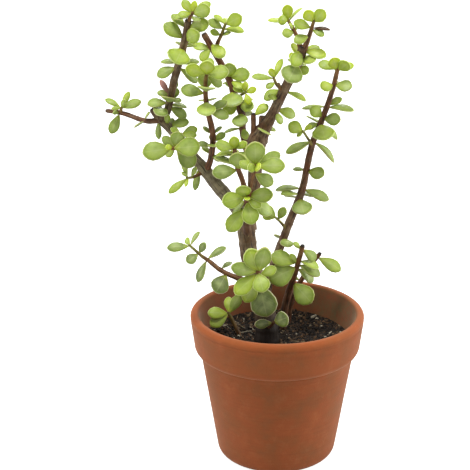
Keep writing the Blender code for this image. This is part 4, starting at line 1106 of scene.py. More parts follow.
@dataclass
class PottingSoil:
    """The soil: a filled body with a lumpy top, and crumbs, chips and rootlets strewn on it.

    Every third rootlet lies in the tangle and the others on the whole top: middle and reach of
    each. A chip is a bit of bark: where it starts, where it ends, and its radius.
    """

    pot: TerracottaPot
    top: float = 93.0
    uneven: float = 1.5
    lump: float = 16.0
    fine_lump: float = 3.4
    fine_uneven: float = 0.9
    calm_edge: float = 4.0
    rings: int = 44
    segments: int = 132
    gap: float = 0.3
    edge_gap: float = 0.05
    crumbs_per_cm2: float = 26.0
    grains_per_cm2: float = 46.0
    crumb_sizes: tuple[float, float] = (0.6, 1.7)
    grain_sizes: tuple[float, float] = (0.25, 0.6)
    rootlets: int = 46
    rootlet_points: tuple[int, int] = (3, 5)
    rootlet_step: float = 3.2
    rootlet_radii: tuple[float, float] = (0.2, 0.4)
    rootlet_lifts: tuple[float, float] = (0.3, 1.4)
    rootlet_wander: float = 0.7
    rootlet_shades: tuple[float, ...] = (0.9, 0.97, 1.0)
    tangle: Point = (-26.0, 20.0, 13.0)
    whole_top: Point = (0.0, 0.0, 47.0)
    chips: tuple[tuple[float, ...], ...] = (
        (27.5, 38.5, 31.0, 42.0, 1.2), (31.0, 37.0, 32.5, 34.5, 0.8),
        (-12.0, 44.0, -8.5, 46.0, 0.9), (18.0, -34.0, 22.5, -31.0, 1.1),
        (-36.0, -18.0, -33.0, -21.5, 0.9))
    chip_lift: float = 0.6
    chip_shade: float = 0.99
    litter_sides: int = 6
    seed: int = 7
    finish: PottingMix = field(default_factory=PottingMix)

    def body_mesh(self) -> bpy.types.Mesh:
        """Build the soil's closed body, with the plain soil's smooth lumps, and its litter.

        Returns:
            The mesh; upper tells its top faces, and crumb the shade of the litter.
        """
        edge = self.pot.inner_radius(self.top) - self.edge_gap
        foot_z = self.pot.floor + self.gap
        low_radius = self.pot.inner_radius(self.pot.floor + self.pot.floor_round) - self.gap
        rows = [(edge * i / self.rings, self.top) for i in range(1, self.rings + 1)]
        rows += [(low_radius, foot_z + self.pot.floor_round),
                 (low_radius - self.pot.floor_round, foot_z)]
        points = [row_place(0, 0, self.lifted(0, 0))]
        for number, (radius, height) in enumerate(rows):
            for i in range(self.segments):
                angle = math.tau * i / self.segments
                x, y = radius * math.cos(angle), radius * math.sin(angle)
                z = self.lifted(x, y) if number < self.rings else height
                points.append(row_place(x, y, z))
        points.append(row_place(0, 0, foot_z))
        last = len(points) - 1
        faces, upper = [], []
        for i in range(self.segments):
            j = (i + 1) % self.segments
            faces.append((0, 1 + i, 1 + j))
            upper.append(True)
            for number in range(len(rows) - 1):
                a, b = 1 + number * self.segments, 1 + (number + 1) * self.segments
                faces.append((a + i, b + i, b + j, a + j))
                upper.append(number < self.rings - 2)
            tail = 1 + (len(rows) - 1) * self.segments
            faces.append((tail + i, last, tail + j))
            upper.append(False)
        shades = [0.0] * len(points)
        for route, shade in self.litter():
            bit = tube_mesh("litter", route, self.litter_sides, 0.0)
            first = len(points)
            points += [vert.co.copy() for vert in bit.vertices]
            shades += [shade] * len(bit.vertices)
            faces += [tuple(first + i for i in polygon.vertices) for polygon in bit.polygons]
            upper += [False] * len(bit.polygons)
        mesh = bpy.data.meshes.new("soil_body")
        mesh.from_pydata(points, [], faces)
        give(mesh, "upper", upper, "BOOLEAN", "FACE")
        give(mesh, "crumb", shades)
        return mesh

    def litter(self) -> list[tuple[tuple[RoutePoint, ...], float]]:
        """Lay pale chips of bark and dry rootlets on the soil.

        Returns:
            The route and the shade of each.
        """
        draws = random.Random(self.seed)
        bits = []
        for x, y, end_x, end_y, radius in self.chips:
            route = tuple((*end, self.lifted(*end) + self.chip_lift, radius)
                          for end in ((x, y), (end_x, end_y)))
            bits.append((route, self.chip_shade))
        for number in range(self.rootlets):
            x, y, reach = self.tangle if number % 3 == 0 else self.whole_top
            away, turn = reach * math.sqrt(draws.random()), draws.uniform(0, math.tau)
            x, y = x + away * math.cos(turn), y + away * math.sin(turn)
            radius, heading = draws.uniform(*self.rootlet_radii), draws.uniform(0, math.tau)
            route = []
            for _ in range(draws.randint(*self.rootlet_points)):
                height = self.lifted(x, y) + draws.uniform(*self.rootlet_lifts)
                route.append((x, y, height, radius))
                heading += draws.uniform(-self.rootlet_wander, self.rootlet_wander)
                x += self.rootlet_step * math.cos(heading)
                y += self.rootlet_step * math.sin(heading)
            bits.append((tuple(route), draws.choice(self.rootlet_shades)))
        return bits

    def lifted(self, x: float, y: float) -> float:
        """Tell the height of the soil's top, with its broad and its small lumps.

        Args:
            x: Distance to the right of the pot's axis.
            y: Distance behind it.

        Returns:
            The height.
        """
        place = row_place(x, y, self.top)
        broad = noise.noise(place / (self.lump * MM))
        small = noise.noise(place / (self.fine_lump * MM))
        calm = min(1.0, (self.pot.inner_radius(self.top) - math.hypot(x, y)) / self.calm_edge)
        return self.top + self.uneven * broad + self.fine_uneven * small * calm

    def rule(self) -> GrowthRule:
        """Strew crumbs and grains over the upper faces, each of its own size and colour.

        Returns:
            The tree. Each draw in it takes a seed of its own.
        """
        rule = GrowthRule("strewn_soil", Int=("Seed",), Float=(
            "Crumbs", "Grains", "Crumb Least", "Crumb Most", "Grain Least", "Grain Most"))
        add = rule.add
        bits = [rule.size("Geometry")]
        upper = add("GeometryNodeInputNamedAttribute", {"Name": "upper"}, data_type="BOOLEAN")
        for label, own_seed in (("Crumb", 0.0), ("Grain", 11.0)):
            seed, turn_seed, pick_seed = (
                add("ShaderNodeMath", {0: rule.size("Seed"), 1: own_seed + more}, operation="ADD")
                for more in (0.0, 3.0, 5.0))
            spots = add("GeometryNodeDistributePointsOnFaces", {
                "Mesh": rule.size("Geometry"), "Selection": upper,
                "Density": rule.size(label + "s"), "Seed": seed})
            lump = add("GeometryNodeMeshIcoSphere", {"Radius": 1.0, "Subdivisions": 1})
            low, high = (
                add("ShaderNodeCombineXYZ", {axis: rule.size(label + end) for axis in range(3)})
                for end in (" Least", " Most"))
            spread = add("FunctionNodeRandomValue", {
                0: (0.0, 0.0, 0.0), 1: (1.0, 1.0, 1.0), "Seed": seed}, data_type="FLOAT_VECTOR")
            size = add("ShaderNodeMix", {"Factor": spread, "A": low, "B": high},
                       data_type="VECTOR", factor_mode="NON_UNIFORM")
            turn = add("FunctionNodeRandomValue", {1: (math.tau,) * 3, "Seed": turn_seed},
                       data_type="FLOAT_VECTOR")
            placed = add("GeometryNodeInstanceOnPoints", {
                "Points": spots, "Instance": lump, "Rotation": turn, "Scale": size})
            pick = add("FunctionNodeRandomValue", {"Seed": pick_seed}, data_type="FLOAT")
            bits.append(add("GeometryNodeStoreNamedAttribute",
                            {"Geometry": placed, "Name": "crumb", "Value": pick},
                            data_type="FLOAT", domain="INSTANCE"))
        joined = add("GeometryNodeJoinGeometry")
        for bit in reversed(bits):
            rule.tree.links.new(bit if isinstance(bit, Socket) else bit.outputs[0],
                                joined.inputs[0])
        rule.end(joined)
        return rule

    def build(self) -> bpy.types.Object:
        """Make the soil in place of the plain one.

        Returns:
            The soil.
        """
        per_m2 = 1e4
        sizes = {f"{bit} {end}": size * MM
                 for bit, ends in (("Crumb", self.crumb_sizes), ("Grain", self.grain_sizes))
                 for end, size in zip(("Least", "Most"), ends)}
        soil = self.rule().bake("potting_soil", self.body_mesh(), {
            "Crumbs": self.crumbs_per_cm2 * per_m2, "Grains": self.grains_per_cm2 * per_m2,
            **sizes, "Seed": self.seed, "Finish": self.finish.make()}, spare=("upper",))
        return hand_over(soil, "soil", self.finish.slot)


@dataclass
class Wood:
    """The bark-covered stems: each twig follows its route, with node rings and cracks.

    Swell, flare, lump and furrow are shares of the stem's own radius.
    """

    step: float = 1.3
    bend_step: float = 2.0
    ring_spacing: float = 8.5
    ring_width: float = 2.0
    ring_swell: float = 0.05
    flare: float = 0.22
    flare_length: float = 7.0
    lump: float = 0.18
    lump_mm: float = 6.0
    lump_middle: float = 0.55
    furrow: float = 0.12
    furrow_mm: float = 2.4
    furrow_long: float = 0.12
    end_round: float = 0.9
    end_narrow: float = 0.78
    dead_end: tuple[float, float] = (1.9, 0.3)
    green_radius: float = 0.8
    ageing_radius: float = 2.6
    least_age: float = 0.25
    # How high above the soil the stems are darkened, and how strongly on the trunk and on other
    # stems: partly damp bark, partly painted shade at the trunk's foot.
    damp_and_shade_top: float = 138.0
    damp_and_shade_fade: float = 30.0
    damp_and_shade_trunk: float = 0.95
    damp_and_shade_stems: float = 0.35
    rooted: tuple[str, ...] = ("trunk", "tall_cut_stem")
    sides: dict[str, int] = field(default_factory=lambda: {
        "trunk": 56, "left_limb": 30, "right_limb": 30})
    other_sides: int = 20
    finish: Bark = field(default_factory=Bark)

    def route_mesh(self, shoot: Shoot) -> bpy.types.Mesh:
        """Lay a shoot's smooth routes as chains of points.

        Args:
            shoot: The part of the plant.

        Returns:
            The chains, with each point's thickness, age, damp and painted shade near the soil, and
            cut or branching off.
        """
        points, edges, rows = [], [], []
        for number, twig in enumerate(shoot.twigs):
            first = len(points)
            branches = number > 0 or shoot.name not in self.rooted
            for point in smooth_route(twig.route, self.bend_step):
                old = clamp((point.w - self.green_radius) / self.ageing_radius)
                # Near the soil the wood darkens: partly damp bark, partly painted shade.
                low = clamp((self.damp_and_shade_top - point.z) / self.damp_and_shade_fade)
                points.append(row_place(*point.xyz))
                rows.append({
                    "thick": point.w * MM,
                    "age": old * (self.least_age + (1 - self.least_age) * shoot.weathered),
                    "cut": float(twig.cut),
                    "side": float(branches),
                    "damp": low * (self.damp_and_shade_trunk if shoot.name == "trunk"
                                   else self.damp_and_shade_stems)})
            edges += [(i, i + 1) for i in range(first, len(points) - 1)]
        mesh = bpy.data.meshes.new(shoot.name + "_route")
        mesh.from_pydata(points, edges, [])
        for label in rows[0]:
            give(mesh, label, [row[label] for row in rows])
        return mesh

    def rule(self) -> GrowthRule:
        """Grow round stems along the chains, with rings, flared roots, lumps and furrows.

        Returns:
            The tree.
        """
        rule = GrowthRule("growing_wood", Int=("Sides",), Float=(
            "Step", "Ring Spacing", "Ring Width", "Ring Swell", "Flare", "Flare Length",
            "Lump", "Lump Size", "Furrow"))
        add, size = rule.add, rule.size
        kept = {label: add("GeometryNodeInputNamedAttribute", {"Name": label}, data_type="FLOAT")
                for label in ("side", "thick", "cut", "radius_at", "far")}
        lines = add("GeometryNodeMeshToCurve", {"Mesh": size("Geometry")})
        even = add("GeometryNodeResampleCurve", {"Curve": lines, "Length": size("Step")},
                   mode="LENGTH")
        far = add("GeometryNodeSplineParameter").outputs["Length"]
        total = add("GeometryNodeSplineLength").outputs["Length"]
        to_end = add("ShaderNodeMath", {0: total, 1: far}, operation="SUBTRACT")
        half = add("ShaderNodeMath", {0: size("Ring Spacing"), 1: 0.5}, operation="MULTIPLY")
        off_ring = add("ShaderNodeMath", {0: far, 1: half}, operation="PINGPONG")
        dead_from, dead_to = self.dead_end
        ring, near, near_end = (
            add("ShaderNodeMapRange", {"Value": value, "From Min": start, "From Max": full},
                interpolation_type="SMOOTHSTEP")
            for value, start, full in (
                (off_ring, size("Ring Width"), 0.0), (far, size("Flare Length"), 0.0),
                (to_end, dead_from * MM, dead_to * MM)))
        swell = add("ShaderNodeMath", {0: ring, 1: size("Ring Swell"), 2: 1.0},
                    operation="MULTIPLY_ADD")
        near_side = add("ShaderNodeMath", {0: near, 1: kept["side"]}, operation="MULTIPLY")
        flare = add("ShaderNodeMath", {0: near_side, 1: size("Flare"), 2: swell},
                    operation="MULTIPLY_ADD")
        rounding = add("ShaderNodeMapRange", {
            "Value": to_end, "From Min": 0.0, "From Max": self.end_round * MM,
            "To Min": self.end_narrow}, interpolation_type="SMOOTHSTEP")
        tapered = add("ShaderNodeMath", {0: flare, 1: rounding}, operation="MULTIPLY")
        radius = add("ShaderNodeMath", {0: tapered, 1: kept["thick"]}, operation="MULTIPLY")
        dead = add("ShaderNodeMath", {0: near_end, 1: kept["cut"]}, operation="MULTIPLY")
        body = even
        for label, value in (("far", far), ("ring", ring), ("dead", dead), ("radius_at", radius)):
            body = add("GeometryNodeStoreNamedAttribute",
                       {"Geometry": body, "Name": label, "Value": value},
                       data_type="FLOAT", domain="POINT")
        circle = add("GeometryNodeCurvePrimitiveCircle",
                     {"Resolution": size("Sides"), "Radius": 1.0})
        at = add("GeometryNodeInputPosition")
        marked = add("GeometryNodeStoreNamedAttribute",
                     {"Geometry": circle, "Name": "round", "Value": at},
                     data_type="FLOAT_VECTOR", domain="POINT")
        tube = add("GeometryNodeCurveToMesh", {
            "Curve": body, "Profile Curve": marked, "Scale": kept["radius_at"],
            "Fill Caps": True})
        around = add("GeometryNodeInputNamedAttribute", {"Name": "round"},
                     data_type="FLOAT_VECTOR")
        wide = add("ShaderNodeVectorMath", {0: around, "Scale": kept["thick"]},
                   operation="SCALE")
        up = add("ShaderNodeCombineXYZ", {2: kept["far"]})
        grain = add("ShaderNodeVectorMath", {0: wide, 1: up}, operation="ADD")
        grained = add("GeometryNodeStoreNamedAttribute",
                      {"Geometry": tube, "Name": "grain", "Value": grain},
                      data_type="FLOAT_VECTOR", domain="POINT")
        scale = add("ShaderNodeMath", {0: 1.0, 1: size("Lump Size")}, operation="DIVIDE")
        lumps = add("ShaderNodeTexNoise", {"Scale": scale, "Detail": 2.0})
        raised = add("ShaderNodeMath", {0: lumps, 1: self.lump_middle}, operation="SUBTRACT")
        lump = add("ShaderNodeMath", {0: raised, 1: size("Lump")}, operation="MULTIPLY")
        drawn = add("ShaderNodeVectorMath", {0: grain, 1: (1.0, 1.0, self.furrow_long)},
                    operation="MULTIPLY")
        furrows = add("ShaderNodeTexNoise", {
            "Vector": drawn, "Scale": 1 / (self.furrow_mm * MM), "Detail": 2.0})
        sunk = add("ShaderNodeMath", {0: furrows, 1: 0.5}, operation="SUBTRACT")
        both = add("ShaderNodeMath", {0: sunk, 1: size("Furrow"), 2: lump},
                   operation="MULTIPLY_ADD")
        depth = add("ShaderNodeMath", {0: both, 1: kept["thick"]}, operation="MULTIPLY")
        normal = add("GeometryNodeInputNormal")
        push = add("ShaderNodeVectorMath", {0: normal, "Scale": depth}, operation="SCALE")
        rule.end(add("GeometryNodeSetPosition", {"Geometry": grained, "Offset": push}))
        return rule

    def build(self, shoots: Iterable[Shoot]) -> list[bpy.types.Object]:
        """Make the wood of every shoot in place of the plain ones.

        Args:
            shoots: The plant's parts, the trunk among them.

        Returns:
            One piece of wood for each shoot.
        """
        rule = self.rule()
        sizes = {
            "Step": self.step * MM, "Ring Spacing": self.ring_spacing * MM,
            "Ring Width": self.ring_width * MM, "Ring Swell": self.ring_swell,
            "Flare": self.flare, "Flare Length": self.flare_length * MM, "Lump": self.lump,
            "Lump Size": self.lump_mm * MM, "Furrow": self.furrow, "Finish": self.finish.make()}
        pieces = []
        for shoot in shoots:
            sides = self.sides.get(shoot.name, self.other_sides)
            wood = rule.bake(shoot.name + "_wood", self.route_mesh(shoot),
                             {**sizes, "Sides": sides},
                             spare=("thick", "cut", "side", "far", "radius_at", "round"))
            pieces.append(hand_over(wood, shoot.name, self.finish.slot))
        return pieces


@dataclass
class Foliage:
    """The leaves of every shoot: thick blades in the places where the plain ones are.

    A leaf is young near its twig's tip, and small ones there take most of the rise in tone.
    Leaves high on the plant catch a little more light, so they are a little fresher too.
    """

    ratio_spread: float = 0.07
    roll_spread: float = 9.0
    arches: tuple[float, float] = (0.03, 0.09)
    thickness_share: float = 0.1
    thickness_limits: tuple[float, float] = (1.4, 2.4)
    widest_power: float = 1.5
    bluntness: float = 0.6
    ring_shares: tuple[float, ...] = (0.15, 0.42, 0.70, 0.91)
    pole: float = 1e-4
    sunk: float = 0.45
    tip_sunk: float = 1.5
    tip_zone: float = 1.4
    clear_from: tuple[float, float, float] = (0.2, 0.35, 0.6)
    least_away: float = 0.1
    clearance: float = 0.8
    gap: float = 0.3
    near: float = 2.0
    turns: tuple[int, ...] = (0, 10, -10, 20, -20, 32, -32, 45, -45)
    lengths: tuple[float, ...] = (1.0, 0.85)
    partner_from: float = -0.55
    partner_droop: float = -0.3
    partner_share: float = 0.9
    seed: int = 4905
    segments: int = 16
    rings: int = 5
    edge_power: float = 0.25
    face_power: float = 0.55
    middle: float = 0.56
    belly: float = 0.25
    cupping: float = 0.05
    cupping_range: tuple[float, float] = (-0.3, 1.0)
    young_from: float = 0.55
    young_over: float = 0.42
    small_from: float = 15.0
    small_over: float = 9.0
    large_share: float = 0.3
    dull_rise: float = 0.1
    cut_rise: float = 0.38
    rise: float = 0.5
    tone_range: tuple[float, float] = (-0.18, 0.12)
    high_from: float = 220.0
    high_over: float = 1200.0
    high_most: float = 0.05
    finish: SucculentLeaf = field(default_factory=SucculentLeaf)

    def point_on(self, twig: Twig, at: float) -> tuple[Vector, Vector, float]:
        """Find a place on a twig's route.

        Args:
            twig: The twig.
            at: The place, by point number.

        Returns:
            The place, the route's direction there and the twig's radius.
        """
        last = len(twig.route) - 2
        end_length = (Vector(twig.route[-1][:3]) - Vector(twig.route[-2][:3])).length
        at = min(at, last + 1 - self.tip_sunk / end_length)
        first = min(int(at), last)
        place = Vector(twig.route[first]).lerp(Vector(twig.route[first + 1]), at - first)
        direction = Vector(twig.route[first + 1][:3]) - Vector(twig.route[first][:3])
        return place.xyz, direction.normalized(), place.w

    def blade_for(self, shoot: Shoot, twig: Twig, leaf: Leaf, roll: float, ratio: float,
                  arch: float, turn: tuple[float, float], shorter: float) -> Blade:
        """Shape a leaf's blade, turned about its root by the two angles of turn.

        Args:
            shoot: The part of the plant that it belongs to.
            twig: The twig that carries it.
            leaf: The leaf.
            roll: Turn about its own length, in degrees.
            ratio: Width as a share of length.
            arch: Bend as a share of length.
            turn: Angles that bring it clear of its neighbours.
            shorter: Share of its length that it keeps.

        Returns:
            The blade in its place.
        """
        axis, direction, radius = self.point_on(twig, leaf.at)
        upper = (Vector(twig.face) if twig.face else direction).lerp(Vector(TOWARDS_VIEWER),
                                                                     leaf.facing)
        outwards = Vector(leaf.reach) - Vector(leaf.reach).dot(direction) * direction
        root = axis + outwards.normalized() * radius * self.sunk
        reach = (axis + Vector(leaf.reach) - root) * shorter
        along = reach.normalized()
        upper = (upper - upper.dot(along) * along).normalized()
        across = upper.cross(along)
        spin = Matrix.Rotation(math.radians(roll), 3, along)
        sideways = Matrix.Rotation(math.radians(turn[0]), 3, upper)
        upwards = Matrix.Rotation(math.radians(turn[1]), 3, across)
        axes = [upwards @ sideways @ spin @ each for each in (along, across, upper)]
        placed = Matrix(axes).transposed().to_4x4()
        placed.translation = root
        length = reach.length
        low, high = self.thickness_limits
        thickness = min(high, max(low, self.thickness_share * length))
        least, most_at_tip, most = self.clear_from
        if leaf.at > len(twig.route) - self.tip_zone:
            most = most_at_tip
        depth = radius * (1 - self.sunk) + self.gap + self.clearance / 2 + thickness / 3
        clear = max(least, min(most, depth / max(outwards.length, self.least_away)))
        return Blade(placed, length, length * ratio, thickness, arch * length, clear,
                     self.tone_of(shoot, twig, leaf), leaf.skin)

    def tone_of(self, shoot: Shoot, twig: Twig, leaf: Leaf) -> float:
        """Choose a leaf's tone: its own, or else the shoot's, and fresher at the twig's tip.

        Args:
            shoot: The part of the plant that it belongs to.
            twig: The twig that carries it.
            leaf: The leaf.

        Returns:
            The tone, from 0 for dull to 1 for lime.
        """
        if leaf.tone:
            return leaf.tone.value
        last = len(twig.route) - 1
        young = clamp((leaf.at - self.young_from * last) / (self.young_over * last))
        small = clamp((self.small_from - Vector(leaf.reach).length) / self.small_over)
        rise = self.cut_rise if twig.cut else self.rise
        if shoot.tone is Tone.DULL:
            rise = self.dull_rise
        tip = min(Tone.LIME.value, shoot.tone.value + rise)
        part = self.large_share + (1 - self.large_share) * small
        return shoot.tone.value + (tip - shoot.tone.value) * young * part

    def outline_share(self, share: float) -> float:
        """Return how wide the leaf is there, as a share of its full width."""
        return math.sin(math.pi * share ** self.widest_power) ** self.bluntness

    def blade_tree(self, blade: Blade) -> BVHTree:
        """Shape a leaf's clear part as a plain four-sided form, swollen by the clearance.

        Args:
            blade: The leaf in its place.

        Returns:
            The form's search tree.
        """
        shape = bmesh.new()
        rings = len(self.ring_shares)
        bmesh.ops.create_uvsphere(shape, u_segments=4, v_segments=rings + 1, radius=1.0)
        for vert in shape.verts:
            ring = round((1 - math.acos(max(-1.0, min(1.0, vert.co.z))) / math.pi) * (rings + 1))
            share = (0.0, *self.ring_shares, 1.0)[ring]
            share = blade.clear_from + (1 - blade.clear_from) * share
            side = Vector((vert.co.x, vert.co.y))
            if side.length > self.pole:
                side.normalize()
            width = blade.width * self.outline_share(share) if 0 < ring <= rings else 0.0
            plump = 1 - self.belly + self.belly * math.sin(math.pi * share)
            height = blade.thickness * plump + self.clearance
            vert.co = blade.frame @ Vector((
                blade.length * share, side.x * (width + self.clearance) / 2,
                side.y * height / 2 + 4 * blade.arch * share * (1 - share)))
        tree = BVHTree.FromBMesh(shape)
        shape.free()
        return tree

    def partner_of(self, twig: Twig, leaf: Leaf) -> Leaf | None:
        """Add the leaf opposite one that points at the viewer.

        Args:
            twig: The twig that carries both.
            leaf: The leaf in front.

        Returns:
            The leaf behind, or None for a leaf that points elsewhere.
        """
        reach = Vector(leaf.reach)
        if twig.face or reach.y > self.partner_from * reach.length:
            return None
        direction = self.point_on(twig, leaf.at)[1]
        axial = reach.dot(direction) * direction
        back = axial - (reach - axial)
        back.z = max(back.z, self.partner_droop * back.length)
        return Leaf(leaf.at, tuple(back * self.partner_share), 0.0, leaf.ratio)

    def settle(self, shoots: Iterable[Shoot], obstacles: list[BVHTree]) -> dict[str, list[Blade]]:
        """Place every leaf, each turned as little as keeps it clear of all others.

        Args:
            shoots: The plant's leafy parts.
            obstacles: Search trees of the wood, the pot and the soil.

        Returns:
            The blades of each shoot, by its name.
        """
        draws = random.Random(self.seed)
        placed = []
        settled = {shoot.name: [] for shoot in shoots}
        for shoot in shoots:
            for twig in shoot.twigs:
                partners = [self.partner_of(twig, leaf) for leaf in twig.leaves]
                for leaf in (*twig.leaves, *filter(None, partners)):
                    roll = draws.uniform(-self.roll_spread, self.roll_spread)
                    ratio = leaf.ratio * draws.uniform(1 - self.ratio_spread,
                                                       1 + self.ratio_spread)
                    arch = draws.uniform(*self.arches)
                    blade = self.first_clear(shoot, twig, leaf, (roll, ratio, arch), placed,
                                             obstacles)
                    if blade:
                        settled[shoot.name].append(blade)
                        placed.append((blade, self.blade_tree(blade)))
        return settled

    def first_clear(self, shoot: Shoot, twig: Twig, leaf: Leaf, draw: tuple[float, float, float],
                    placed: list[tuple[Blade, BVHTree]], obstacles: list[BVHTree]) -> Blade | None:
        """Try ever larger turns of a leaf, and a shorter leaf after those.

        Args:
            shoot: The part of the plant that it belongs to.
            twig: The twig that carries it.
            leaf: The leaf.
            draw: Its roll, ratio and arch.
            placed: The leaves that stand already, with their search trees.
            obstacles: Search trees of the wood, the pot and the soil.

        Returns:
            The first blade that touches nothing, or None.
        """
        turns = sorted(((a, b) for a in self.turns for b in self.turns),
                       key=lambda turn: turn[0] ** 2 + turn[1] ** 2)
        for shorter in self.lengths:
            for turn in turns:
                blade = self.blade_for(shoot, twig, leaf, *draw, turn, shorter)
                tree = self.blade_tree(blade)
                place = blade.frame.translation
                near = [its_tree for other, its_tree in placed
                        if (other.frame.translation - place).length
                        < other.length + blade.length + self.near]
                if not any(tree.overlap(other) for other in (*near, *obstacles)):
                    return blade
        return None

    def rule(self) -> GrowthRule:
        """Lay one rounded blade on each point, shaped by the point's own attributes.

        Returns:
            The tree.
        """
        rule = GrowthRule("leaf_blades", Int=("Segments", "Rings"),
                          Float=("Widest Power", "Bluntness", "Edge Power", "Middle"))
        add = rule.add
        ball = add("GeometryNodeMeshUVSphere", {
            "Segments": rule.size("Segments"), "Rings": rule.size("Rings"), "Radius": 1.0})
        at = add("GeometryNodeInputPosition")
        marked = add("GeometryNodeStoreNamedAttribute",
                     {"Geometry": ball, "Name": "form", "Value": at},
                     data_type="FLOAT_VECTOR", domain="POINT")
        laid = add("GeometryNodeInstanceOnPoints",
                   {"Points": rule.size("Geometry"), "Instance": marked})
        real = add("GeometryNodeRealizeInstances", {"Geometry": laid})
        given = {label: add("GeometryNodeInputNamedAttribute", {"Name": label},
                            data_type="FLOAT_VECTOR")
                 for label in ("form", "root", "along", "across", "upper", "size", "bend")}
        form, size, bend = (add("ShaderNodeSeparateXYZ", {0: given[label]})
                            for label in ("form", "size", "bend"))
        flat = add("ShaderNodeVectorMath", {0: given["form"], 1: (1.0, 1.0, 0.0)},
                   operation="MULTIPLY")
        ring = add("ShaderNodeVectorMath", {0: flat}, operation="LENGTH").outputs["Value"]
        turned = add("ShaderNodeMath", {0: form.outputs["X"], 1: ring}, operation="DIVIDE")
        rim_share = add("ShaderNodeMath", {0: turned, 1: -0.5, 2: 0.5}, operation="MULTIPLY_ADD")
        wide = rim_share
        for operation, other in (("POWER", rule.size("Widest Power")), ("MULTIPLY", math.pi),
                                 ("SINE", 0.0), ("MAXIMUM", 0.0),
                                 ("POWER", rule.size("Bluntness"))):
            wide = add("ShaderNodeMath", {0: wide, 1: other}, operation=operation)
        spread = add("ShaderNodeMath", {0: ring, 1: rule.size("Edge Power")}, operation="POWER")
        from_middle = add("ShaderNodeMath", {0: rim_share, 1: rule.size("Middle")},
                          operation="SUBTRACT")
        share = add("ShaderNodeMath", {0: from_middle, 1: spread, 2: rule.size("Middle")},
                    operation="MULTIPLY_ADD")
        which = add("ShaderNodeMath", {0: form.outputs["Y"]}, operation="SIGN")
        sided = add("ShaderNodeMath", {0: wide, 1: which}, operation="MULTIPLY")
        side = add("ShaderNodeMath", {0: sided, 1: spread}, operation="MULTIPLY")
        far = add("ShaderNodeMath", {0: share, 1: size.outputs["X"]}, operation="MULTIPLY")
        half_width = add("ShaderNodeMath", {0: size.outputs["Y"], 1: 0.5}, operation="MULTIPLY")
        wide_off = add("ShaderNodeMath", {0: side, 1: half_width}, operation="MULTIPLY")
        height = add("ShaderNodeMath", {0: form.outputs["Z"]}, operation="ABSOLUTE")
        round_height = add("ShaderNodeMath", {0: height, 1: self.face_power}, operation="POWER")
        face = add("ShaderNodeMath", {0: form.outputs["Z"]}, operation="SIGN")
        skin_height = add("ShaderNodeMath", {0: round_height, 1: face}, operation="MULTIPLY")
        share_turn = add("ShaderNodeMath", {0: share, 1: math.pi}, operation="MULTIPLY")
        belly = add("ShaderNodeMath", {0: share_turn}, operation="SINE")
        plump = add("ShaderNodeMath", {0: belly, 1: self.belly / 2, 2: (1 - self.belly) / 2},
                    operation="MULTIPLY_ADD")
        body = add("ShaderNodeMath", {0: plump, 1: size.outputs["Z"]}, operation="MULTIPLY")
        thick = add("ShaderNodeMath", {0: body, 1: skin_height}, operation="MULTIPLY")
        rest = add("ShaderNodeMath", {0: 1.0, 1: share}, operation="SUBTRACT")
        bow = add("ShaderNodeMath", {0: share, 1: rest}, operation="MULTIPLY")
        bowed = add("ShaderNodeMath", {0: bow, 1: bend.outputs["X"], 2: thick},
                    operation="MULTIPLY_ADD")
        squared = add("ShaderNodeMath", {0: side, 1: side}, operation="MULTIPLY")
        cupped = add("ShaderNodeMath", {0: squared, 1: bend.outputs["Y"], 2: bowed},
                     operation="MULTIPLY_ADD")
        position = given["root"]
        for label, amount in (("along", far), ("across", wide_off), ("upper", cupped)):
            step = add("ShaderNodeVectorMath", {0: given[label], "Scale": amount},
                       operation="SCALE")
            position = add("ShaderNodeVectorMath", {0: position, 1: step}, operation="ADD")
        coords = add("ShaderNodeCombineXYZ", {0: share, 1: side, 2: skin_height})
        noted = add("GeometryNodeStoreNamedAttribute",
                    {"Geometry": real, "Name": "blade", "Value": coords},
                    data_type="FLOAT_VECTOR", domain="POINT")
        rimmed = add("GeometryNodeStoreNamedAttribute",
                     {"Geometry": noted, "Name": "rim", "Value": spread},
                     data_type="FLOAT", domain="POINT")
        rule.end(add("GeometryNodeSetPosition", {"Geometry": rimmed, "Position": position}))
        return rule

    def points_mesh(self, name: str, blades: list[Blade]) -> bpy.types.Mesh:
        """Mark one point for each blade, with all that the tree needs to shape it.

        Args:
            name: The piece's name, which also seeds its draws.
            blades: The leaves in their places.

        Returns:
            The points.
        """
        draws = random.Random(name)
        mesh = bpy.data.meshes.new(name)
        roots = [row_place(*blade.frame.translation) for blade in blades]
        mesh.from_pydata(roots, [], [])
        give(mesh, "root", roots, "FLOAT_VECTOR")
        for column, label in enumerate(("along", "across", "upper")):
            give(mesh, label, [blade.frame.col[column].xyz for blade in blades], "FLOAT_VECTOR")
        give(mesh, "size", [(blade.length * MM, blade.width * MM, blade.thickness * MM)
                            for blade in blades], "FLOAT_VECTOR")
        give(mesh, "bend", [
            (4 * blade.arch * MM,
             blade.width * draws.uniform(*self.cupping_range) * self.cupping * MM, 0.0)
            for blade in blades], "FLOAT_VECTOR")
        tones = []
        for blade in blades:
            high = (blade.frame.translation.z - self.high_from) / self.high_over
            tones.append(blade.tone + draws.uniform(*self.tone_range)
                         + max(0.0, min(self.high_most, high)))
        give(mesh, "tone", tones)
        give(mesh, "skin", [blade.skin.value for blade in blades])
        return mesh

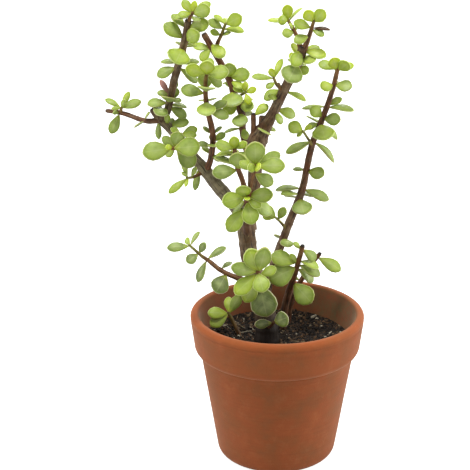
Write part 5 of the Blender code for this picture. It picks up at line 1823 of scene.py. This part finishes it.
    def build(self, shoots: Iterable[Shoot], stems: Iterable[Shoot]) -> list[bpy.types.Object]:
        """Make the leaves of every shoot.

        Args:
            shoots: The plant's leafy parts.
            stems: Every part with wood that the leaves keep clear of.

        Returns:
            One piece for each shoot's leaves.
        """
        tubes = [tube_mesh("stem", twig.route, twig.sides, self.gap)
                 for shoot in stems for twig in shoot.twigs]
        solid = [frame["nodes"][name].data for name in ("pot", "soil")]
        blades = self.settle(shoots, [mesh_tree(mesh) for mesh in (*tubes, *solid)])
        rule = self.rule()
        sizes = {"Segments": self.segments, "Rings": self.rings,
                 "Widest Power": self.widest_power, "Bluntness": self.bluntness,
                 "Edge Power": self.edge_power, "Middle": self.middle,
                 "Finish": self.finish.make()}
        pieces = []
        for shoot in shoots:
            name = shoot.name + "_leaves"
            leaves = rule.bake(
                name, self.points_mesh(name, blades[shoot.name]), sizes,
                spare=("form", "root", "along", "across", "upper", "size", "bend"), sharp=False)
            pieces.append(hand_over(leaves, shoot.name, self.finish.slot))
        return pieces


def smooth_route(route: tuple[RoutePoint, ...], step: float) -> list[Vector]:
    """Draw a smooth curve through a route.

    Args:
        route: The route's points, each with the wood's radius, in millimetres.
        step: Longest distance between two points.

    Returns:
        The curve's points, each with its radius as fourth number.
    """
    points = [Vector(point) for point in route]
    guides = [2 * points[0] - points[1], *points, 2 * points[-1] - points[-2]]
    smooth = [points[0]]
    for before, start, end, after in zip(guides, guides[1:], guides[2:], guides[3:]):
        pieces = max(1, round((end - start).length / step))
        for piece in range(1, pieces + 1):
            t = piece / pieces
            pull_in = (end - before) * 0.5
            pull_out = (after - start) * 0.5
            smooth.append((2 * t**3 - 3 * t**2 + 1) * start + (t**3 - 2 * t**2 + t) * pull_in
                          + (3 * t**2 - 2 * t**3) * end + (t**3 - t**2) * pull_out)
    return smooth


def tube_mesh(name: str, route: tuple[RoutePoint, ...], sides: int,
              swell: float) -> bpy.types.Mesh:
    """Make a plain round tube along a route.

    Args:
        name: The mesh's name.
        route: The route in millimetres.
        sides: Number of sides.
        swell: How much wider it is all round.

    Returns:
        The mesh in metres.
    """
    curve = bpy.data.curves.new(name, "CURVE")
    curve.dimensions = "3D"
    curve.bevel_depth = MM
    curve.bevel_resolution = (sides - 4) // 2
    curve.use_fill_caps = True
    points = smooth_route(route, PLAIN_STEP)
    spline = curve.splines.new("POLY")
    spline.points.add(len(points) - 1)
    for spline_point, point in zip(spline.points, points):
        spline_point.co = (*row_place(*point.xyz), 1.0)
        spline_point.radius = point.w + swell
    holder = bpy.data.objects.new(name, curve)
    bpy.context.scene.collection.objects.link(holder)
    graph = bpy.context.evaluated_depsgraph_get()
    mesh = bpy.data.meshes.new_from_object(holder.evaluated_get(graph))
    bpy.data.objects.remove(holder)
    bpy.data.curves.remove(curve)
    return mesh


def mesh_tree(mesh: bpy.types.Mesh) -> BVHTree:
    """Make a mesh's search tree.

    Args:
        mesh: The mesh, in metres.

    Returns:
        The tree, in millimetres from the pot's axis.
    """
    shift = Matrix.Translation((-POT_AXIS[0], -POT_AXIS[1], 0)) @ Matrix.Scale(1 / MM, 4)
    points = [shift @ vert.co for vert in mesh.vertices]
    return BVHTree.FromPolygons(points, [tuple(polygon.vertices) for polygon in mesh.polygons])


@dataclass
class Studio:
    """A white paper floor, soft light from all sides, and the camera.

    Each light has a name, its place and its width in metres, and its power in watts. The sky
    values say how bright the white room is towards each side.
    """

    floor_size: float = 3.0
    aim: Point = (-0.6, 0.0, 175.9)
    distance: float = 1400.0
    elevation: float = 20.6
    lens: float = 145.6
    sensor: float = 36.0
    sky_front: float = 0.1
    sky_back: float = 0.5
    sky_side: float = 0.42
    sky_top: float = 0.4
    floor_glow: float = 0.85
    lit_point: Point = (0.0, 0.0, 0.18)
    lights: tuple[tuple[str, Point, float, float], ...] = (
        ("window_left", (-1.1, -0.05, 0.6), 0.5, 4.5), ("window_right", (1.1, 0.0, 0.5), 0.5, 7.5),
        ("skylight", (-0.2, -0.55, 2.2), 0.6, 29.0), ("back_window", (0.3, 1.4, 1.0), 0.6, 5.0))
    finish: StudioFloor = field(default_factory=StudioFloor)

    def build(self) -> None:
        """Set up the floor, the room, the lights and the camera."""
        self.lay_floor()
        self.whiten_room()
        self.hang_lights()
        self.place_camera()

    def lay_floor(self) -> None:
        """Lay the paper under the pot."""
        half = self.floor_size / 2
        mesh = bpy.data.meshes.new("floor")
        mesh.from_pydata([(-half, -half, 0), (half, -half, 0), (half, half, 0), (-half, half, 0)],
                         [], [(0, 1, 2, 3)])
        paper = self.finish.make()
        tree = paper.node_tree
        surface = tree.nodes["Principled BSDF"]
        surface.inputs["Emission Color"].default_value = WHITE
        seen = add_node(tree, "ShaderNodeLightPath").outputs["Is Camera Ray"]
        glow = add_node(tree, "ShaderNodeMath", {0: seen, 1: self.floor_glow},
                        operation="MULTIPLY")
        tree.links.new(glow.outputs[0], surface.inputs["Emission Strength"])
        mesh.materials.append(paper)
        floor = bpy.data.objects.new("floor", mesh)
        bpy.context.scene.collection.objects.link(floor)

    def whiten_room(self) -> None:
        """Put a white room round the scene, brightest behind, at the sides and above."""
        scene = bpy.context.scene
        world = bpy.data.worlds.new("white_room")
        world.use_nodes = True
        tree = world.node_tree
        room = tree.nodes["Background"]
        room.inputs["Color"].default_value = WHITE
        way = add_node(tree, "ShaderNodeTexCoord").outputs["Generated"]
        parts = add_node(tree, "ShaderNodeSeparateXYZ", {0: way}).outputs
        behind = add_node(tree, "ShaderNodeMapRange", {
            "Value": parts["Y"], "From Min": -1.0,
            "To Min": self.sky_front, "To Max": self.sky_back})
        aside = add_node(tree, "ShaderNodeMath", {0: parts["X"]}, operation="ABSOLUTE")
        sides = add_node(tree, "ShaderNodeMath", {0: aside, 1: self.sky_side, 2: behind},
                         operation="MULTIPLY_ADD")
        above = add_node(tree, "ShaderNodeMath", {0: parts["Z"], 1: self.sky_top, 2: sides},
                         operation="MULTIPLY_ADD")
        seen = add_node(tree, "ShaderNodeLightPath").outputs["Is Camera Ray"]
        strength = add_node(tree, "ShaderNodeMix", {"Factor": seen, "A": above, "B": 1.0})
        tree.links.new(strength.outputs[0], room.inputs["Strength"])
        scene.world = world
        scene.view_settings.view_transform = "Standard"

    def hang_lights(self) -> None:
        """Hang a soft round light in each window and one above, turned to the plant."""
        for name, place, size, power in self.lights:
            data = bpy.data.lights.new(name, "AREA")
            data.shape = "DISK"
            data.size = size
            data.energy = power
            lamp = bpy.data.objects.new(name, data)
            lamp.location = place
            way = Vector(self.lit_point) - Vector(place)
            lamp.rotation_euler = way.to_track_quat("-Z", "Y").to_euler()
            bpy.context.scene.collection.objects.link(lamp)

    def place_camera(self) -> None:
        """Stand the camera where the photograph was taken from."""
        tilt = math.radians(self.elevation)
        aim = Vector(self.aim) * MM
        back = Vector((0.0, -math.cos(tilt), math.sin(tilt)))
        data = bpy.data.cameras.new("camera")
        data.lens = self.lens
        data.sensor_width = self.sensor
        camera = bpy.data.objects.new("camera", data)
        camera.location = aim + back * self.distance * MM
        camera.rotation_euler = (-back).to_track_quat("-Z", "Y").to_euler()
        bpy.context.scene.collection.objects.link(camera)
        bpy.context.scene.camera = camera


def main() -> None:
    """Build the pot, the soil, the wood, the leaves and the studio, and note the sizes."""
    logging.basicConfig(level=logging.INFO, format="%(name)s %(message)s")
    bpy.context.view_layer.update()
    pot = TerracottaPot()
    woods = (TRUNK, *SHOOTS)
    pieces = [pot.build(), PottingSoil(pot).build(), *Wood().build(woods),
              *Foliage().build(SHOOTS, woods)]
    for piece in pieces:
        LOG.info("%s: %d faces", piece.name, len(piece.data.polygons))
    Studio().build()


if __name__ == "__main__":
    main()
